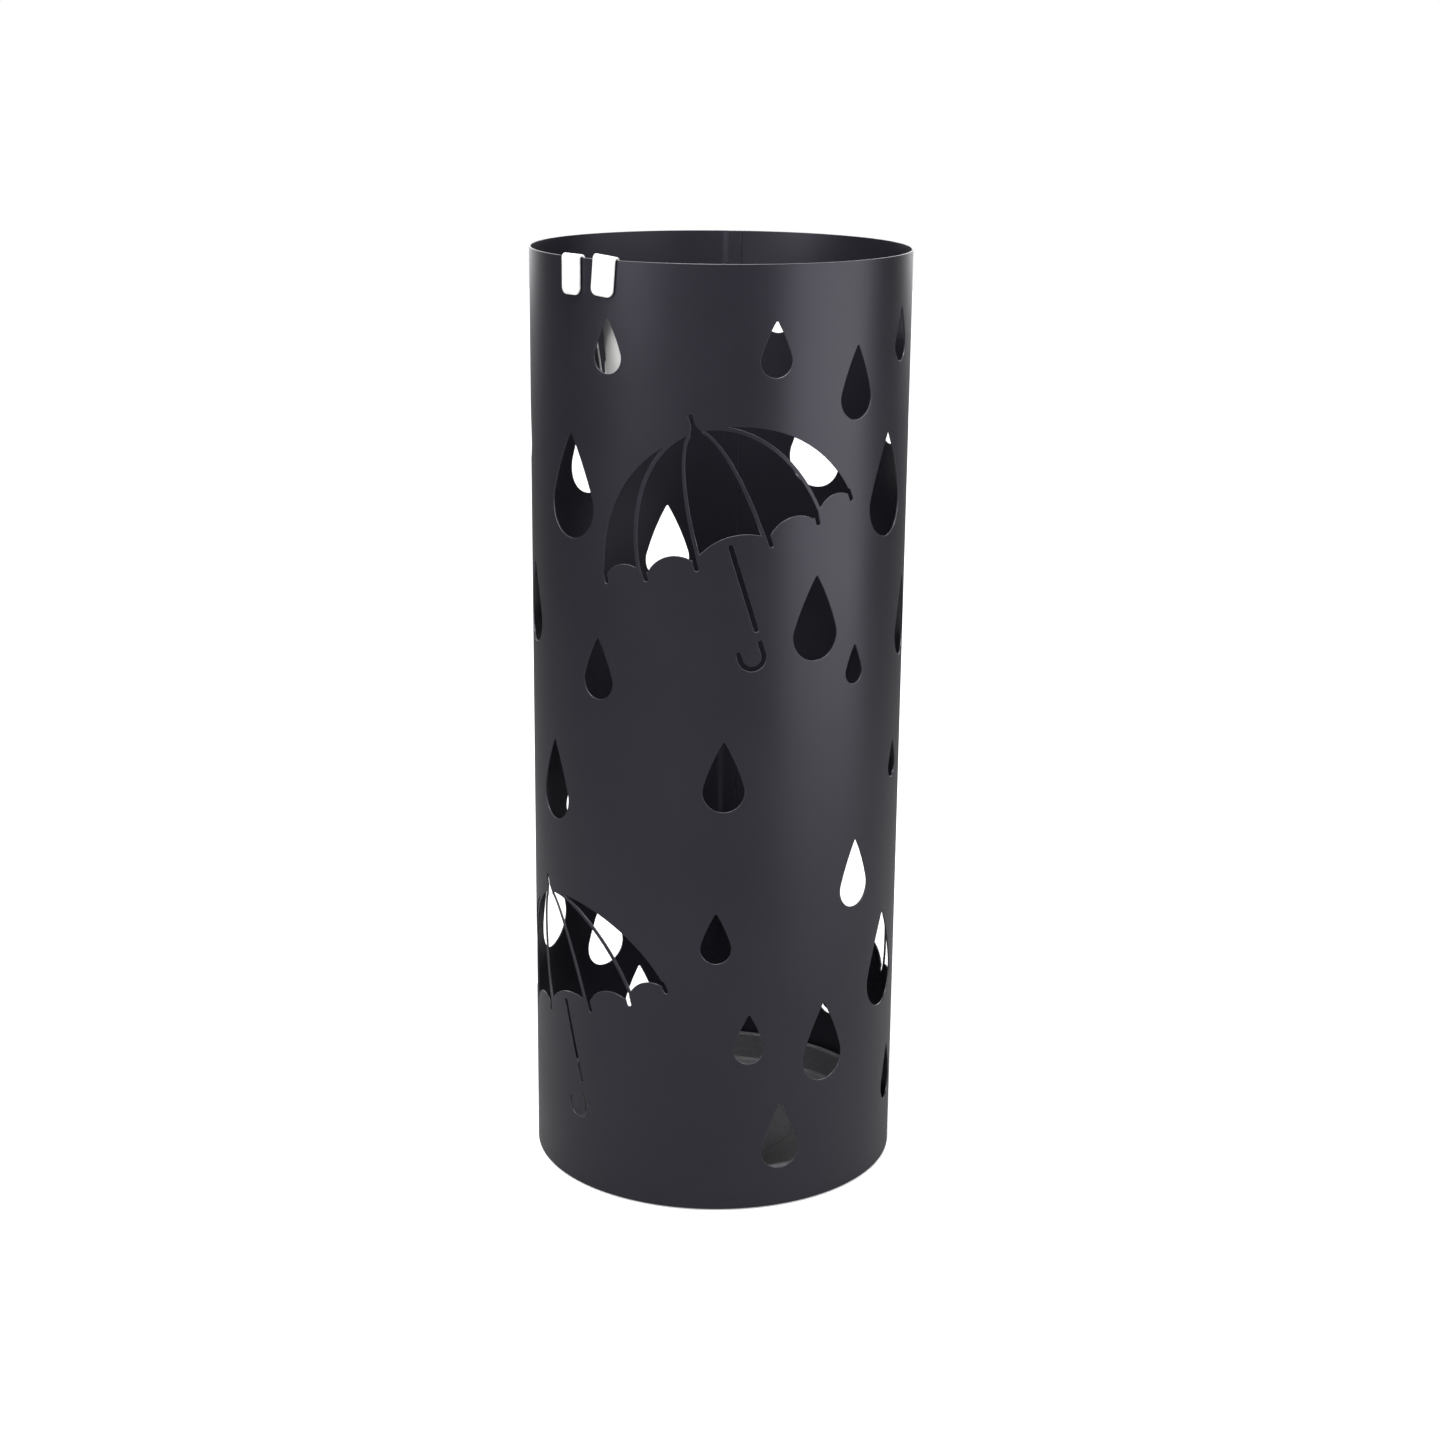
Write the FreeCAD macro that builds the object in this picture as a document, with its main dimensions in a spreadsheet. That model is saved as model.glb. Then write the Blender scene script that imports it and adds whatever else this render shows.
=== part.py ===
"""Cylindrical sheet-steel umbrella stand, cut with umbrellas and raindrops.

Units are millimetres. +Z is up, the floor is z = 0 and the tube's axis is the Z axis.
The front is -Y. A cut-out's place is drawn on the flat sheet before it is rolled:
"across" runs from the front centre towards +X, and "up" is the height above the floor.
"""
import FreeCAD, Part
import math
import os
import Sketcher
from FreeCAD import Placement, Rotation, Vector

# Driving dimensions: alias, value
SIZES = [
    # tube
    ("tubeDiameter", 195.0),
    ("tubeHeight", 490.0),
    ("floorGap", 1.0),
    ("sheetGauge", 0.8),
    # lap seam at the back
    ("seamAngle", 174.5),
    ("seamOverlap", 6.0),
    ("seamGroove", 0.4),
    ("seamGrooveDepth", 0.5),
    ("seamGroovePlace", 0.8),
    # cut-out pattern, drawn on a sheet of this size
    ("artworkWidth", 612.6),
    ("artworkHeight", 490.0),
    ("dropTipRadius", 0.7),
    ("dropSideRadius", 4.3),
    ("ribWidth", 2.0),
    ("slotWidth", 2.6),
    ("umbrellaLean", 17.5),
    # base plate
    ("baseGauge", 0.8),
    ("baseFlange", 3.4),
    ("baseFitGap", 0.05),
    ("baseBend", 1.5),
    # rubber feet
    ("footHeight", 4.0),
    ("footDiameter", 18.0),
    ("footInset", 16.0),
    ("footEdge", 0.8),
    # drip tray
    ("trayHeight", 16.6),
    ("trayWall", 1.2),
    ("trayClearance", 1.6),
    ("trayLip", 2.4),
    ("trayDraft", 3.0),
    ("trayRestGap", 0.05),
    # rim hooks, each bent from one strip
    ("hookWidth", 13.0),
    ("hookGauge", 1.2),
    ("hookThroat", 2.0),
    ("hookTab", 18.0),
    ("hookLeg", 60.0),
    ("hookSplay", 12.0),
    ("hookCurl", 5.0),
    ("hookLip", 7.0),
    ("hookTipWidth", 9.0),
    ("hookCorner", 3.5),
    ("hookRestGap", 0.05),
    ("hookLeftAngle", -47.2),
    ("hookRightAngle", -34.4),
    ("hookRightLean", 5.0),
]

# Raindrops: height and width of each size
DROP_SIZES = {
    "extra_large": (53.0, 32.3),
    "large": (43.0, 25.4),
    "medium": (36.5, 21.3),
    "small_medium": (32.0, 18.7),
    "small": (27.0, 16.0),
    "extra_small": (20.3, 12.3),
}

# Raindrops: size, place across the sheet, height of the bottom
DROPS = [
    # front
    ("small", -58.0, 435.5),
    ("small", 27.5, 436.0),
    ("medium", 74.0, 413.0),
    ("small", 115.0, 437.5),
    ("extra_large", -83.0, 351.5),
    ("extra_large", 102.0, 351.0),
    ("large", -128.0, 289.0),
    ("small_medium", -64.5, 271.7),
    ("large", 51.0, 294.7),
    ("extra_small", 76.6, 279.0),
    ("large", 131.0, 283.0),
    ("medium", 3.7, 219.0),
    ("large", -100.0, 200.3),
    ("extra_small", 120.0, 219.3),
    ("medium", 81.0, 158.7),
    ("small", 0.5, 138.0),
    ("extra_large", 111.0, 94.5),
    ("small", 18.2, 82.5),
    ("large", 60.8, 67.2),
    ("medium", 36.0, 22.2),
    ("small_medium", 126.0, 34.0),
    # right side and back
    ("large", 189.0, 384.0),
    ("small", 150.0, 398.0),
    ("medium", 171.0, 305.0),
    ("small_medium", 165.0, 222.0),
    ("extra_large", 249.5, 352.0),
    ("small", 274.0, 435.3),
    ("small_medium", 218.0, 438.0),
    ("large", 203.0, 277.0),
    ("extra_small", 199.0, 243.0),
    ("medium", 270.0, 206.0),
    ("small", 239.0, 196.0),
    ("extra_small", 266.0, 298.0),
    ("large", 335.8, 295.5),
    ("extra_large", 384.7, 350.0),
    ("small", 337.0, 402.0),
    ("large", 332.0, 196.0),
    ("extra_small", 366.0, 255.0),
    ("large", 376.3, 71.0),
    ("medium", 352.5, 28.7),
    ("small", 327.0, 117.0),
    # left side
    ("medium", 397.5, 165.0),
    ("extra_large", 425.5, 97.7),
    ("small_medium", 433.0, 30.0),
    ("small", 421.0, 431.0),
    ("small_medium", 465.6, 382.0),
    ("medium", 424.0, 293.0),
    ("small_medium", 441.0, 217.0),
    ("extra_small", 403.0, 258.0),
]

# Umbrellas: place across the sheet and height of the finial's tip
UMBRELLAS = [(-14.4, 418.9), (-111.2, 166.4), (201.0, 170.2)]

# Umbrella drawn upright below its finial's tip, which is the point (0, 0)
CANOPY_RADIUS = 69.5
CANOPY_CENTRE = -79.0
RIB_REACH = (17.0, 49.0)
# each scallop: left end, top of the arc, right end
SCALLOPS = [
    ((-67.3, -65.8), (-59.0, -61.9), (-49.0, -65.5)),
    ((-44.0, -69.0), (-32.5, -63.7), (-20.0, -69.0)),
    ((-14.3, -66.3), (0.0, -62.7), (14.3, -66.3)),
    ((20.0, -69.0), (32.5, -63.7), (44.0, -69.0)),
    ((49.0, -65.5), (59.0, -61.9), (67.3, -65.8)),
]
# each rib end on the right half: top and bottom of its centre line, width
RIB_ENDS = [
    ((18.9, -64.0), (19.3, -73.4), 2.3),
    ((46.1, -62.0), (45.6, -72.0), 2.3),
    ((67.6, -64.0), (68.0, -68.6), 2.2),
]
FINIAL = [(-3.3, -10.4), (-1.1, -6.0), (-1.1, -1.1), (1.1, -1.1), (1.1, -6.0), (3.3, -10.4)]
SHAFT = (-67.9, -111.3)
HANDLE_TOP = -118.3
HANDLE_RADIUS = 6.0
HANDLE_CENTRE = -124.0
HANDLE_END = -120.6


def makeSheet(doc):
    """The spreadsheet that drives every size."""
    sheet = doc.addObject("Spreadsheet::Sheet", "Sizes")
    for row, (alias, value) in enumerate(SIZES, start=1):
        sheet.set(f"A{row}", alias)
        sheet.set(f"B{row}", str(value))
        sheet.setAlias(f"B{row}", alias)
    doc.recompute()
    return sheet


# ---- flat artwork ----------------------------------------------------------

def flat(point):
    return Vector(point[0], point[1], 0)


def arc(start, middle, end):
    return Part.Arc(flat(start), flat(middle), flat(end)).toShape()


def line(start, end):
    return Part.LineSegment(flat(start), flat(end)).toShape()


def faceOf(edges):
    """A flat face that looks up, so that faces which overlap can be joined into one."""
    face = Part.Face(Part.Wire(edges))
    if face.normalAt(0, 0).z < 0:
        face.reverse()
    return face


def slotFace(start, end, width):
    """A straight slot with round ends; start and end are the ends' centres."""
    along = (flat(end) - flat(start)).normalize()
    side = Vector(-along.y, along.x, 0) * (width / 2)
    tip = along * (width / 2)
    a, b = flat(start), flat(end)
    return faceOf([
        line(a + side, b + side),
        arc(b + side, b + tip, b - side),
        line(b - side, a - side),
        arc(a - side, a - tip, a + side),
    ])


def ellipseFace(halfWidth, halfHeight, centre):
    """An upright or flat ellipse, whichever its two half sizes make it."""
    long, short = max(halfWidth, halfHeight), min(halfWidth, halfHeight)
    ellipse = Part.Ellipse(Vector(0, 0, 0), long, short).toShape()
    turn = 90 if halfHeight > halfWidth else 0
    ellipse.Placement = Placement(flat(centre), Rotation(Vector(0, 0, 1), turn))
    return faceOf([ellipse])


def dropFace(height, width, tipRadius, sideRadius):
    """A raindrop: a round bottom and a small round tip, joined by two bulging arcs.

    Each side is an arc that holds both circles and touches them, so it meets them smoothly;
    its radius is given as a multiple of the distance between the two circles' centres.
    The drop's lowest point is the origin.
    """
    low = width / 2
    rise = height - low - tipRadius
    side = sideRadius * rise
    toLow, toTip = side - low, side - tipRadius
    up = (toLow ** 2 - toTip ** 2 + rise ** 2) / (2 * rise)
    out = math.sqrt(toLow ** 2 - up ** 2)
    lowJoin = (low * out / toLow, low - low * up / toLow)
    tipJoin = (tipRadius * out / toTip, low + rise + tipRadius * (rise - up) / toTip)
    middle = (math.atan2(lowJoin[1] - low - up, lowJoin[0] + out)
              + math.atan2(tipJoin[1] - low - up, tipJoin[0] + out)) / 2
    bulge = (side * math.cos(middle) - out, low + up + side * math.sin(middle))

    def mirrored(point):
        return (-point[0], point[1])

    return faceOf([
        arc(lowJoin, bulge, tipJoin),
        arc(tipJoin, (0, height), mirrored(tipJoin)),
        arc(mirrored(tipJoin), mirrored(bulge), mirrored(lowJoin)),
        arc(mirrored(lowJoin), (0, 0), lowJoin),
    ])


def canopyFace():
    """The canopy's outline: a circle's cap above the five scallops."""
    left, right = SCALLOPS[0][0], SCALLOPS[-1][2]
    drop = left[1] - CANOPY_CENTRE
    reach = math.sqrt(CANOPY_RADIUS ** 2 - drop ** 2)
    edges = [
        arc((-reach, left[1]), (0, CANOPY_CENTRE + CANOPY_RADIUS), (reach, right[1])),
        line((reach, right[1]), right),
    ]
    for index in range(len(SCALLOPS) - 1, -1, -1):
        start, top, end = SCALLOPS[index]
        edges.append(arc(end, top, start))
        if index:
            edges.append(line(start, SCALLOPS[index - 1][2]))
    edges.append(line(left, (-reach, left[1])))
    return faceOf(edges)


def panelFaces(ribWidth):
    """The canopy's five open panels: its outline with the rib ends, less four curved ribs."""
    centre = (0, CANOPY_CENTRE)
    height = CANOPY_RADIUS + ribWidth / 2
    ribs = []
    for reach in RIB_REACH:
        outer = ellipseFace(reach + ribWidth / 2, height + ribWidth / 2, centre)
        inner = ellipseFace(reach - ribWidth / 2, height - ribWidth / 2, centre)
        ribs.append(outer.cut(inner))
    ends = []
    for top, bottom, width in RIB_ENDS:
        ends.append(slotFace(top, bottom, width))
        ends.append(slotFace((-top[0], top[1]), (-bottom[0], bottom[1]), width))
    panels = canopyFace().fuse(ends).removeSplitter().cut(ribs).Faces
    finial = faceOf([
        line(FINIAL[0], FINIAL[1]),
        line(FINIAL[1], FINIAL[2]),
        arc(FINIAL[2], (0, 0), FINIAL[3]),
        line(FINIAL[3], FINIAL[4]),
        line(FINIAL[4], FINIAL[5]),
        line(FINIAL[5], FINIAL[0]),
    ])
    middle = min(panels, key=lambda face: abs(face.CenterOfMass.x))
    others = [face for face in panels if face is not middle]
    return others + middle.fuse(finial).removeSplitter().Faces


def handleFace(width):
    """The J-shaped handle: straight down, round to the left and up to its end."""
    outer = HANDLE_RADIUS + width / 2
    inner = HANDLE_RADIUS - width / 2
    mid = -HANDLE_RADIUS
    far = mid - HANDLE_RADIUS
    half = width / 2
    return faceOf([
        line((half, HANDLE_TOP), (half, HANDLE_CENTRE)),
        arc((half, HANDLE_CENTRE), (mid, HANDLE_CENTRE - outer), (far - half, HANDLE_CENTRE)),
        line((far - half, HANDLE_CENTRE), (far - half, HANDLE_END)),
        arc((far - half, HANDLE_END), (far, HANDLE_END + half), (far + half, HANDLE_END)),
        line((far + half, HANDLE_END), (far + half, HANDLE_CENTRE)),
        arc((far + half, HANDLE_CENTRE), (mid, HANDLE_CENTRE - inner), (-half, HANDLE_CENTRE)),
        line((-half, HANDLE_CENTRE), (-half, HANDLE_TOP)),
        arc((-half, HANDLE_TOP), (0, HANDLE_TOP + half), (half, HANDLE_TOP)),
    ])


def umbrellaFaces(ribWidth, slotWidth):
    """Every opening of one upright umbrella."""
    shaft = slotFace((0, SHAFT[0]), (0, SHAFT[1]), slotWidth)
    return panelFaces(ribWidth) + [shaft, handleFace(slotWidth)]


def artworkFaces(sheet):
    """All cut-outs on the flat sheet, spread over the sheet and kept in proportion."""
    spreadAcross = math.pi * sheet.tubeDiameter / sheet.artworkWidth
    spreadUp = sheet.tubeHeight / sheet.artworkHeight
    scale = min(spreadAcross, spreadUp)
    faces = []

    def placed(face, across, up, lean):
        copy = face.copy()
        if scale != 1:
            copy.scale(scale)
        copy.Placement = Placement(Vector(across * spreadAcross, up * spreadUp, 0),
                                   Rotation(Vector(0, 0, 1), lean))
        faces.append(copy)

    drops = {name: dropFace(*size, sheet.dropTipRadius, sheet.dropSideRadius)
             for name, size in DROP_SIZES.items()}
    for name, across, up in DROPS:
        placed(drops[name], across, up, 0)
    umbrella = umbrellaFaces(sheet.ribWidth, sheet.slotWidth)
    for across, up in UMBRELLAS:
        for face in umbrella:
            placed(face, across, up, sheet.umbrellaLean)
    return faces


# ---- from the flat sheet to the rolled tube --------------------------------

def makePunch(face, radius, reach):
    """A straight punch through the wall: the cut-out's own middle decides its direction."""
    across = face.BoundBox.Center.x
    face.translate(Vector(-across, 0, -reach))
    punch = face.extrude(Vector(0, 0, 2 * reach))
    # the sheet's flat x, y and normal become sideways, up and outwards at the front
    punch.rotate(Vector(0, 0, 0), Vector(1, 0, 0), 90)
    punch.translate(Vector(0, -radius, 0))
    punch.rotate(Vector(0, 0, 0), Vector(0, 0, 1), math.degrees(across / radius))
    return punch


def makeCutters(doc, sheet):
    """One feature with a punch through the tube's wall for every cut-out."""
    radius = sheet.tubeDiameter / 2
    reach = radius / 4
    cutters = doc.addObject("Part::Feature", "CutOuts")
    cutters.Shape = Part.makeCompound(
        [makePunch(face, radius, reach) for face in artworkFaces(sheet)])
    return cutters


def makeRing(doc, name, outer, inner, bottom, height, angle=None, turn=None):
    """A ring or a sector of one: the difference of two cylinders bound to the sheet."""
    rings = []
    for suffix, radius in (("Outer", outer), ("Inner", inner)):
        cylinder = doc.addObject("Part::Cylinder", name + suffix)
        cylinder.setExpression("Radius", radius)
        cylinder.setExpression("Height", height)
        cylinder.setExpression(".Placement.Base.z", bottom)
        if angle:
            cylinder.setExpression("Angle", angle)
            cylinder.Placement.Rotation = Rotation(Vector(0, 0, 1), 1)
            cylinder.setExpression(".Placement.Rotation.Angle", turn)
        rings.append(cylinder)
    ring = doc.addObject("Part::Cut", name)
    ring.Base, ring.Tool = rings
    return ring


def makeWall(doc, sheet):
    """The rolled tube with its lap seam and every cut-out."""
    radius = "Sizes.tubeDiameter / 2"
    bottom = "Sizes.floorGap * 1mm"
    height = "(Sizes.tubeHeight - Sizes.floorGap) * 1mm"
    tube = makeRing(doc, "Tube", f"{radius} * 1mm", f"({radius} - Sizes.sheetGauge) * 1mm",
                    bottom, height)
    # the inner layer of the lap stops above the base plate's bend
    lapBottom = "(Sizes.footHeight + Sizes.baseGauge + Sizes.sheetGauge)"
    lapAngle = "Sizes.seamOverlap / (Sizes.tubeDiameter * pi) * 360deg"
    lapTurn = "(Sizes.seamAngle - 90) * 1deg"
    lap = makeRing(doc, "Lap", f"({radius} - Sizes.sheetGauge * 0.5) * 1mm",
                   f"({radius} - Sizes.sheetGauge * 2) * 1mm", f"{lapBottom} * 1mm",
                   f"(Sizes.tubeHeight - {lapBottom}) * 1mm", lapAngle, lapTurn)
    grooveAngle = "Sizes.seamGroove / (Sizes.tubeDiameter * pi) * 360deg"
    grooveTurn = f"{lapTurn} + {lapAngle} * Sizes.seamGroovePlace"
    groove = makeRing(doc, "Groove", f"({radius} + Sizes.sheetGauge) * 1mm",
                      f"({radius} - Sizes.seamGrooveDepth) * 1mm", "0mm",
                      "(Sizes.tubeHeight + Sizes.sheetGauge) * 1mm", grooveAngle, grooveTurn)
    blank = doc.addObject("Part::MultiFuse", "Blank")
    blank.Shapes = [tube, lap]
    jointed = doc.addObject("Part::Cut", "JointedBlank")
    jointed.Base, jointed.Tool = blank, groove
    wall = doc.addObject("Part::Cut", "Wall")
    wall.Base, wall.Tool = jointed, makeCutters(doc, sheet)
    wall.Label = "wall"
    return wall


# ---- turned and pressed pieces ---------------------------------------------

def originPlane(body, role):
    return next(f for f in body.Origin.OriginFeatures if f.Role == role)


def makeBody(doc, label):
    body = doc.addObject("PartDesign::Body", "".join(w.title() for w in label.split("_")))
    body.Label = label
    return body


def makeSketch(body, name, role):
    sketch = body.newObject("Sketcher::SketchObject", name)
    sketch.AttachmentSupport = [(originPlane(body, role), "")]
    sketch.MapMode = "FlatFace"
    return sketch


def rectangle(sketch, left, right, halfDepth):
    """A rectangle from left to right, centred across the sketch's x axis."""
    near, far, side = 1.0, 2.0, 3.0
    corners = [(near, -side), (far, -side), (far, side), (near, side)]
    for index in range(4):
        start, end = corners[index], corners[(index + 1) % 4]
        sketch.addGeometry(Part.LineSegment(flat(start), flat(end)), False)
    for index in range(4):
        sketch.addConstraint(Sketcher.Constraint("Coincident", index, 2, (index + 1) % 4, 1))
        kind = "Vertical" if index % 2 else "Horizontal"
        sketch.addConstraint(Sketcher.Constraint(kind, index))
    sizes = [
        ("DistanceX", (-1, 1, 0, 1, near), left),
        ("DistanceX", (-1, 1, 1, 1, far), right),
        ("DistanceY", (-1, 1, 2, 1, side), halfDepth),
        ("DistanceY", (0, 1, -1, 1, side), halfDepth),
    ]
    for kind, places, text in sizes:
        number = sketch.addConstraint(Sketcher.Constraint(kind, *places))
        sketch.setExpression(f"Constraints[{number}]", text)


def circleSketch(body, name, radius):
    """A circle round the body's own Z axis."""
    sketch = makeSketch(body, name, "XY_Plane")
    sketch.addGeometry(Part.Circle(Vector(0, 0, 0), Vector(0, 0, 1), 10), False)
    sketch.addConstraint(Sketcher.Constraint("Coincident", 0, 3, -1, 1))
    number = sketch.addConstraint(Sketcher.Constraint("Radius", 0, 10))
    sketch.setExpression(f"Constraints[{number}]", radius)
    return sketch


def makePad(body, name, sketch, length):
    pad = body.newObject("PartDesign::Pad", name)
    pad.Profile = sketch
    pad.setExpression("Length", length)
    return pad


def filletEdges(body, name, base, chosen, radius):
    """Round the edges of the base feature that the function chosen picks."""
    body.Document.recompute()
    edges = [f"Edge{i}" for i, edge in enumerate(base.Shape.Edges, start=1) if chosen(edge)]
    fillet = body.newObject("PartDesign::Fillet", name)
    fillet.Base = (base, edges)
    fillet.setExpression("Radius", radius)
    return fillet


def circleAt(height, radius):
    """Picks the full circle of this radius at this height, in the body's own frame."""
    def chosen(edge):
        curve = edge.Curve
        return (isinstance(curve, Part.Circle) and abs(curve.Radius - radius) < 1e-4
                and abs(curve.Center.z - height) < 1e-4)
    return chosen


def makeBasePlate(doc, sheet):
    """A pressed disc with its flange turned down, a close fit inside the tube."""
    body = makeBody(doc, "base_plate")
    radius = "Sizes.tubeDiameter / 2 - Sizes.sheetGauge - Sizes.baseFitGap"
    disc = makePad(body, "Disc", circleSketch(body, "DiscOutline", radius), "Sizes.baseFlange")
    inside = circleSketch(body, "FlangeInside", f"{radius} - Sizes.baseGauge")
    pocket = body.newObject("PartDesign::Pocket", "Hollow")
    pocket.Profile = inside
    pocket.Reversed = True
    pocket.setExpression("Length", "Sizes.baseFlange - Sizes.baseGauge")
    outer = sheet.tubeDiameter / 2 - sheet.sheetGauge - sheet.baseFitGap
    top = circleAt(sheet.baseFlange, outer)
    bend = filletEdges(body, "OuterBend", pocket, top, "Sizes.baseBend")
    under = circleAt(sheet.baseFlange - sheet.baseGauge, outer - sheet.baseGauge)
    filletEdges(body, "InnerBend", bend, under, "Sizes.baseBend - Sizes.baseGauge")
    doc.recompute()
    if pocket.Shape.Volume >= disc.Shape.Volume:
        raise RuntimeError("the base plate's hollow cuts nothing")
    body.setExpression(".Placement.Base.z",
                       "(Sizes.footHeight + Sizes.baseGauge - Sizes.baseFlange) * 1mm")


def makeFeet(doc, sheet):
    """Four round rubber pads under the base plate."""
    ring = (sheet.tubeDiameter / 2 - sheet.sheetGauge - sheet.baseFitGap - sheet.footInset)
    places = {"front_left": 225, "front_right": 315, "back_right": 45, "back_left": 135}
    for place, azimuth in places.items():
        body = makeBody(doc, f"foot_{place}")
        outline = circleSketch(body, "Outline", "Sizes.footDiameter / 2")
        pad = makePad(body, "Pad", outline, "Sizes.footHeight")
        bottom = circleAt(0, sheet.footDiameter / 2)
        filletEdges(body, "SoftEdge", pad, bottom, "Sizes.footEdge")
        turn = math.radians(azimuth)
        body.Placement = Placement(Vector(ring * math.cos(turn), ring * math.sin(turn), 0),
                                   Rotation())


def makeDripTray(doc, sheet):
    """A shallow moulded pan with sloping sides and a lip, loose on the base plate."""
    body = makeBody(doc, "drip_tray")
    lip = "(Sizes.tubeDiameter / 2 - Sizes.sheetGauge * 2 - Sizes.trayClearance)"
    top = f"({lip} - Sizes.trayLip)"
    foot = f"({top} - Sizes.trayHeight * tan(Sizes.trayDraft * 1deg))"
    pan = body.newObject("PartDesign::AdditiveCone", "Pan")
    pan.setExpression("Radius1", f"{foot} * 1mm")
    pan.setExpression("Radius2", f"{top} * 1mm")
    pan.setExpression("Height", "Sizes.trayHeight * 1mm")
    rim = body.newObject("PartDesign::AdditiveCylinder", "Lip")
    rim.setExpression("Radius", f"{lip} * 1mm")
    rim.setExpression("Height", "Sizes.trayWall * 1mm")
    rim.setExpression(".Placement.Base.z", "(Sizes.trayHeight - Sizes.trayWall) * 1mm")
    hollow = body.newObject("PartDesign::SubtractiveCone", "Hollow")
    hollow.setExpression("Radius1", f"({foot} - Sizes.trayWall) * 1mm")
    hollow.setExpression("Radius2", f"({top} - Sizes.trayWall) * 1mm")
    hollow.setExpression("Height", "Sizes.trayHeight * 1mm")
    hollow.setExpression(".Placement.Base.z", "Sizes.trayWall * 1mm")
    doc.recompute()
    underside = circleAt(0, pan.Radius1.Value)
    filletEdges(body, "UndersideEdge", hollow, underside, "Sizes.trayWall * 1.5")
    body.setExpression(".Placement.Base.z",
                       "(Sizes.footHeight + Sizes.baseGauge + Sizes.trayRestGap) * 1mm")


# ---- rim hooks -------------------------------------------------------------

def hookPath(body, sheet):
    """The strip's centre line, seen from the side, +x outwards and the rim's top at y = 0.

    It runs up the short outer tab, over the rim in a half round, down the splayed leg, and
    round the curl to the lip, which points up.
    """
    splay = math.radians(sheet.hookSplay)
    bend = (sheet.hookThroat + sheet.hookGauge) / 2
    # the curved wall fills more of the throat at the strip's two edges than in its middle
    filled = sheet.sheetGauge + sheet.hookWidth ** 2 / (2 * sheet.tubeDiameter)
    seat = sheet.hookRestGap - math.sqrt(sheet.hookThroat ** 2 - filled ** 2) / 2
    legTop = Vector(-bend * math.cos(splay), seat + bend * math.sin(splay), 0)
    legEnd = legTop - Vector(math.sin(splay), math.cos(splay), 0) * sheet.hookLeg
    curl = legEnd + Vector(-math.cos(splay), math.sin(splay), 0) * sheet.hookCurl
    lipFoot = curl - Vector(sheet.hookCurl, 0, 0)
    up = Vector(0, 0, 1)
    sketch = makeSketch(body, "StripLine", "XZ_Plane")
    tab, over, leg, round_, lip = (sketch.addGeometry(piece, False) for piece in [
        Part.LineSegment(Vector(bend, -sheet.hookTab, 0), Vector(bend, seat, 0)),
        Part.ArcOfCircle(Part.Circle(Vector(0, seat, 0), up, bend), 0, math.pi - splay),
        Part.LineSegment(legTop, legEnd),
        Part.ArcOfCircle(Part.Circle(curl, up, sheet.hookCurl), math.pi, 2 * math.pi - splay),
        Part.LineSegment(lipFoot, lipFoot + Vector(0, sheet.hookLip, 0)),
    ])
    for first, firstEnd, second, secondEnd in [(tab, 2, over, 1), (over, 2, leg, 1),
                                               (leg, 2, round_, 2), (round_, 1, lip, 1)]:
        sketch.addConstraint(Sketcher.Constraint("Tangent", first, firstEnd, second, secondEnd))
    sketch.addConstraint(Sketcher.Constraint("Vertical", tab))
    sketch.addConstraint(Sketcher.Constraint("Vertical", lip))
    sketch.addConstraint(Sketcher.Constraint("PointOnObject", over, 3, -2))
    throat = "Sizes.hookThroat / 2"
    filledText = "(Sizes.sheetGauge + Sizes.hookWidth ^ 2 / (2 * Sizes.tubeDiameter))"
    seatText = f"sqrt(Sizes.hookThroat ^ 2 - {filledText} ^ 2) / 2 - Sizes.hookRestGap"
    sizes = [
        (("DistanceY", tab, 1, -1, 1, sheet.hookTab), "Sizes.hookTab"),
        (("Radius", over, bend), f"{throat} + Sizes.hookGauge / 2"),
        (("DistanceY", over, 3, -1, 1, -seat), seatText),
        (("DistanceX", leg, 2, leg, 1, sheet.hookLeg * math.sin(splay)),
         "Sizes.hookLeg * sin(Sizes.hookSplay * 1deg)"),
        (("DistanceY", leg, 2, leg, 1, sheet.hookLeg * math.cos(splay)),
         "Sizes.hookLeg * cos(Sizes.hookSplay * 1deg)"),
        (("Radius", round_, sheet.hookCurl), "Sizes.hookCurl"),
        (("Distance", lip, sheet.hookLip), "Sizes.hookLip"),
    ]
    for given, text in sizes:
        number = sketch.addConstraint(Sketcher.Constraint(*given))
        sketch.setExpression(f"Constraints[{number}]", text)
    return sketch


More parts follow.
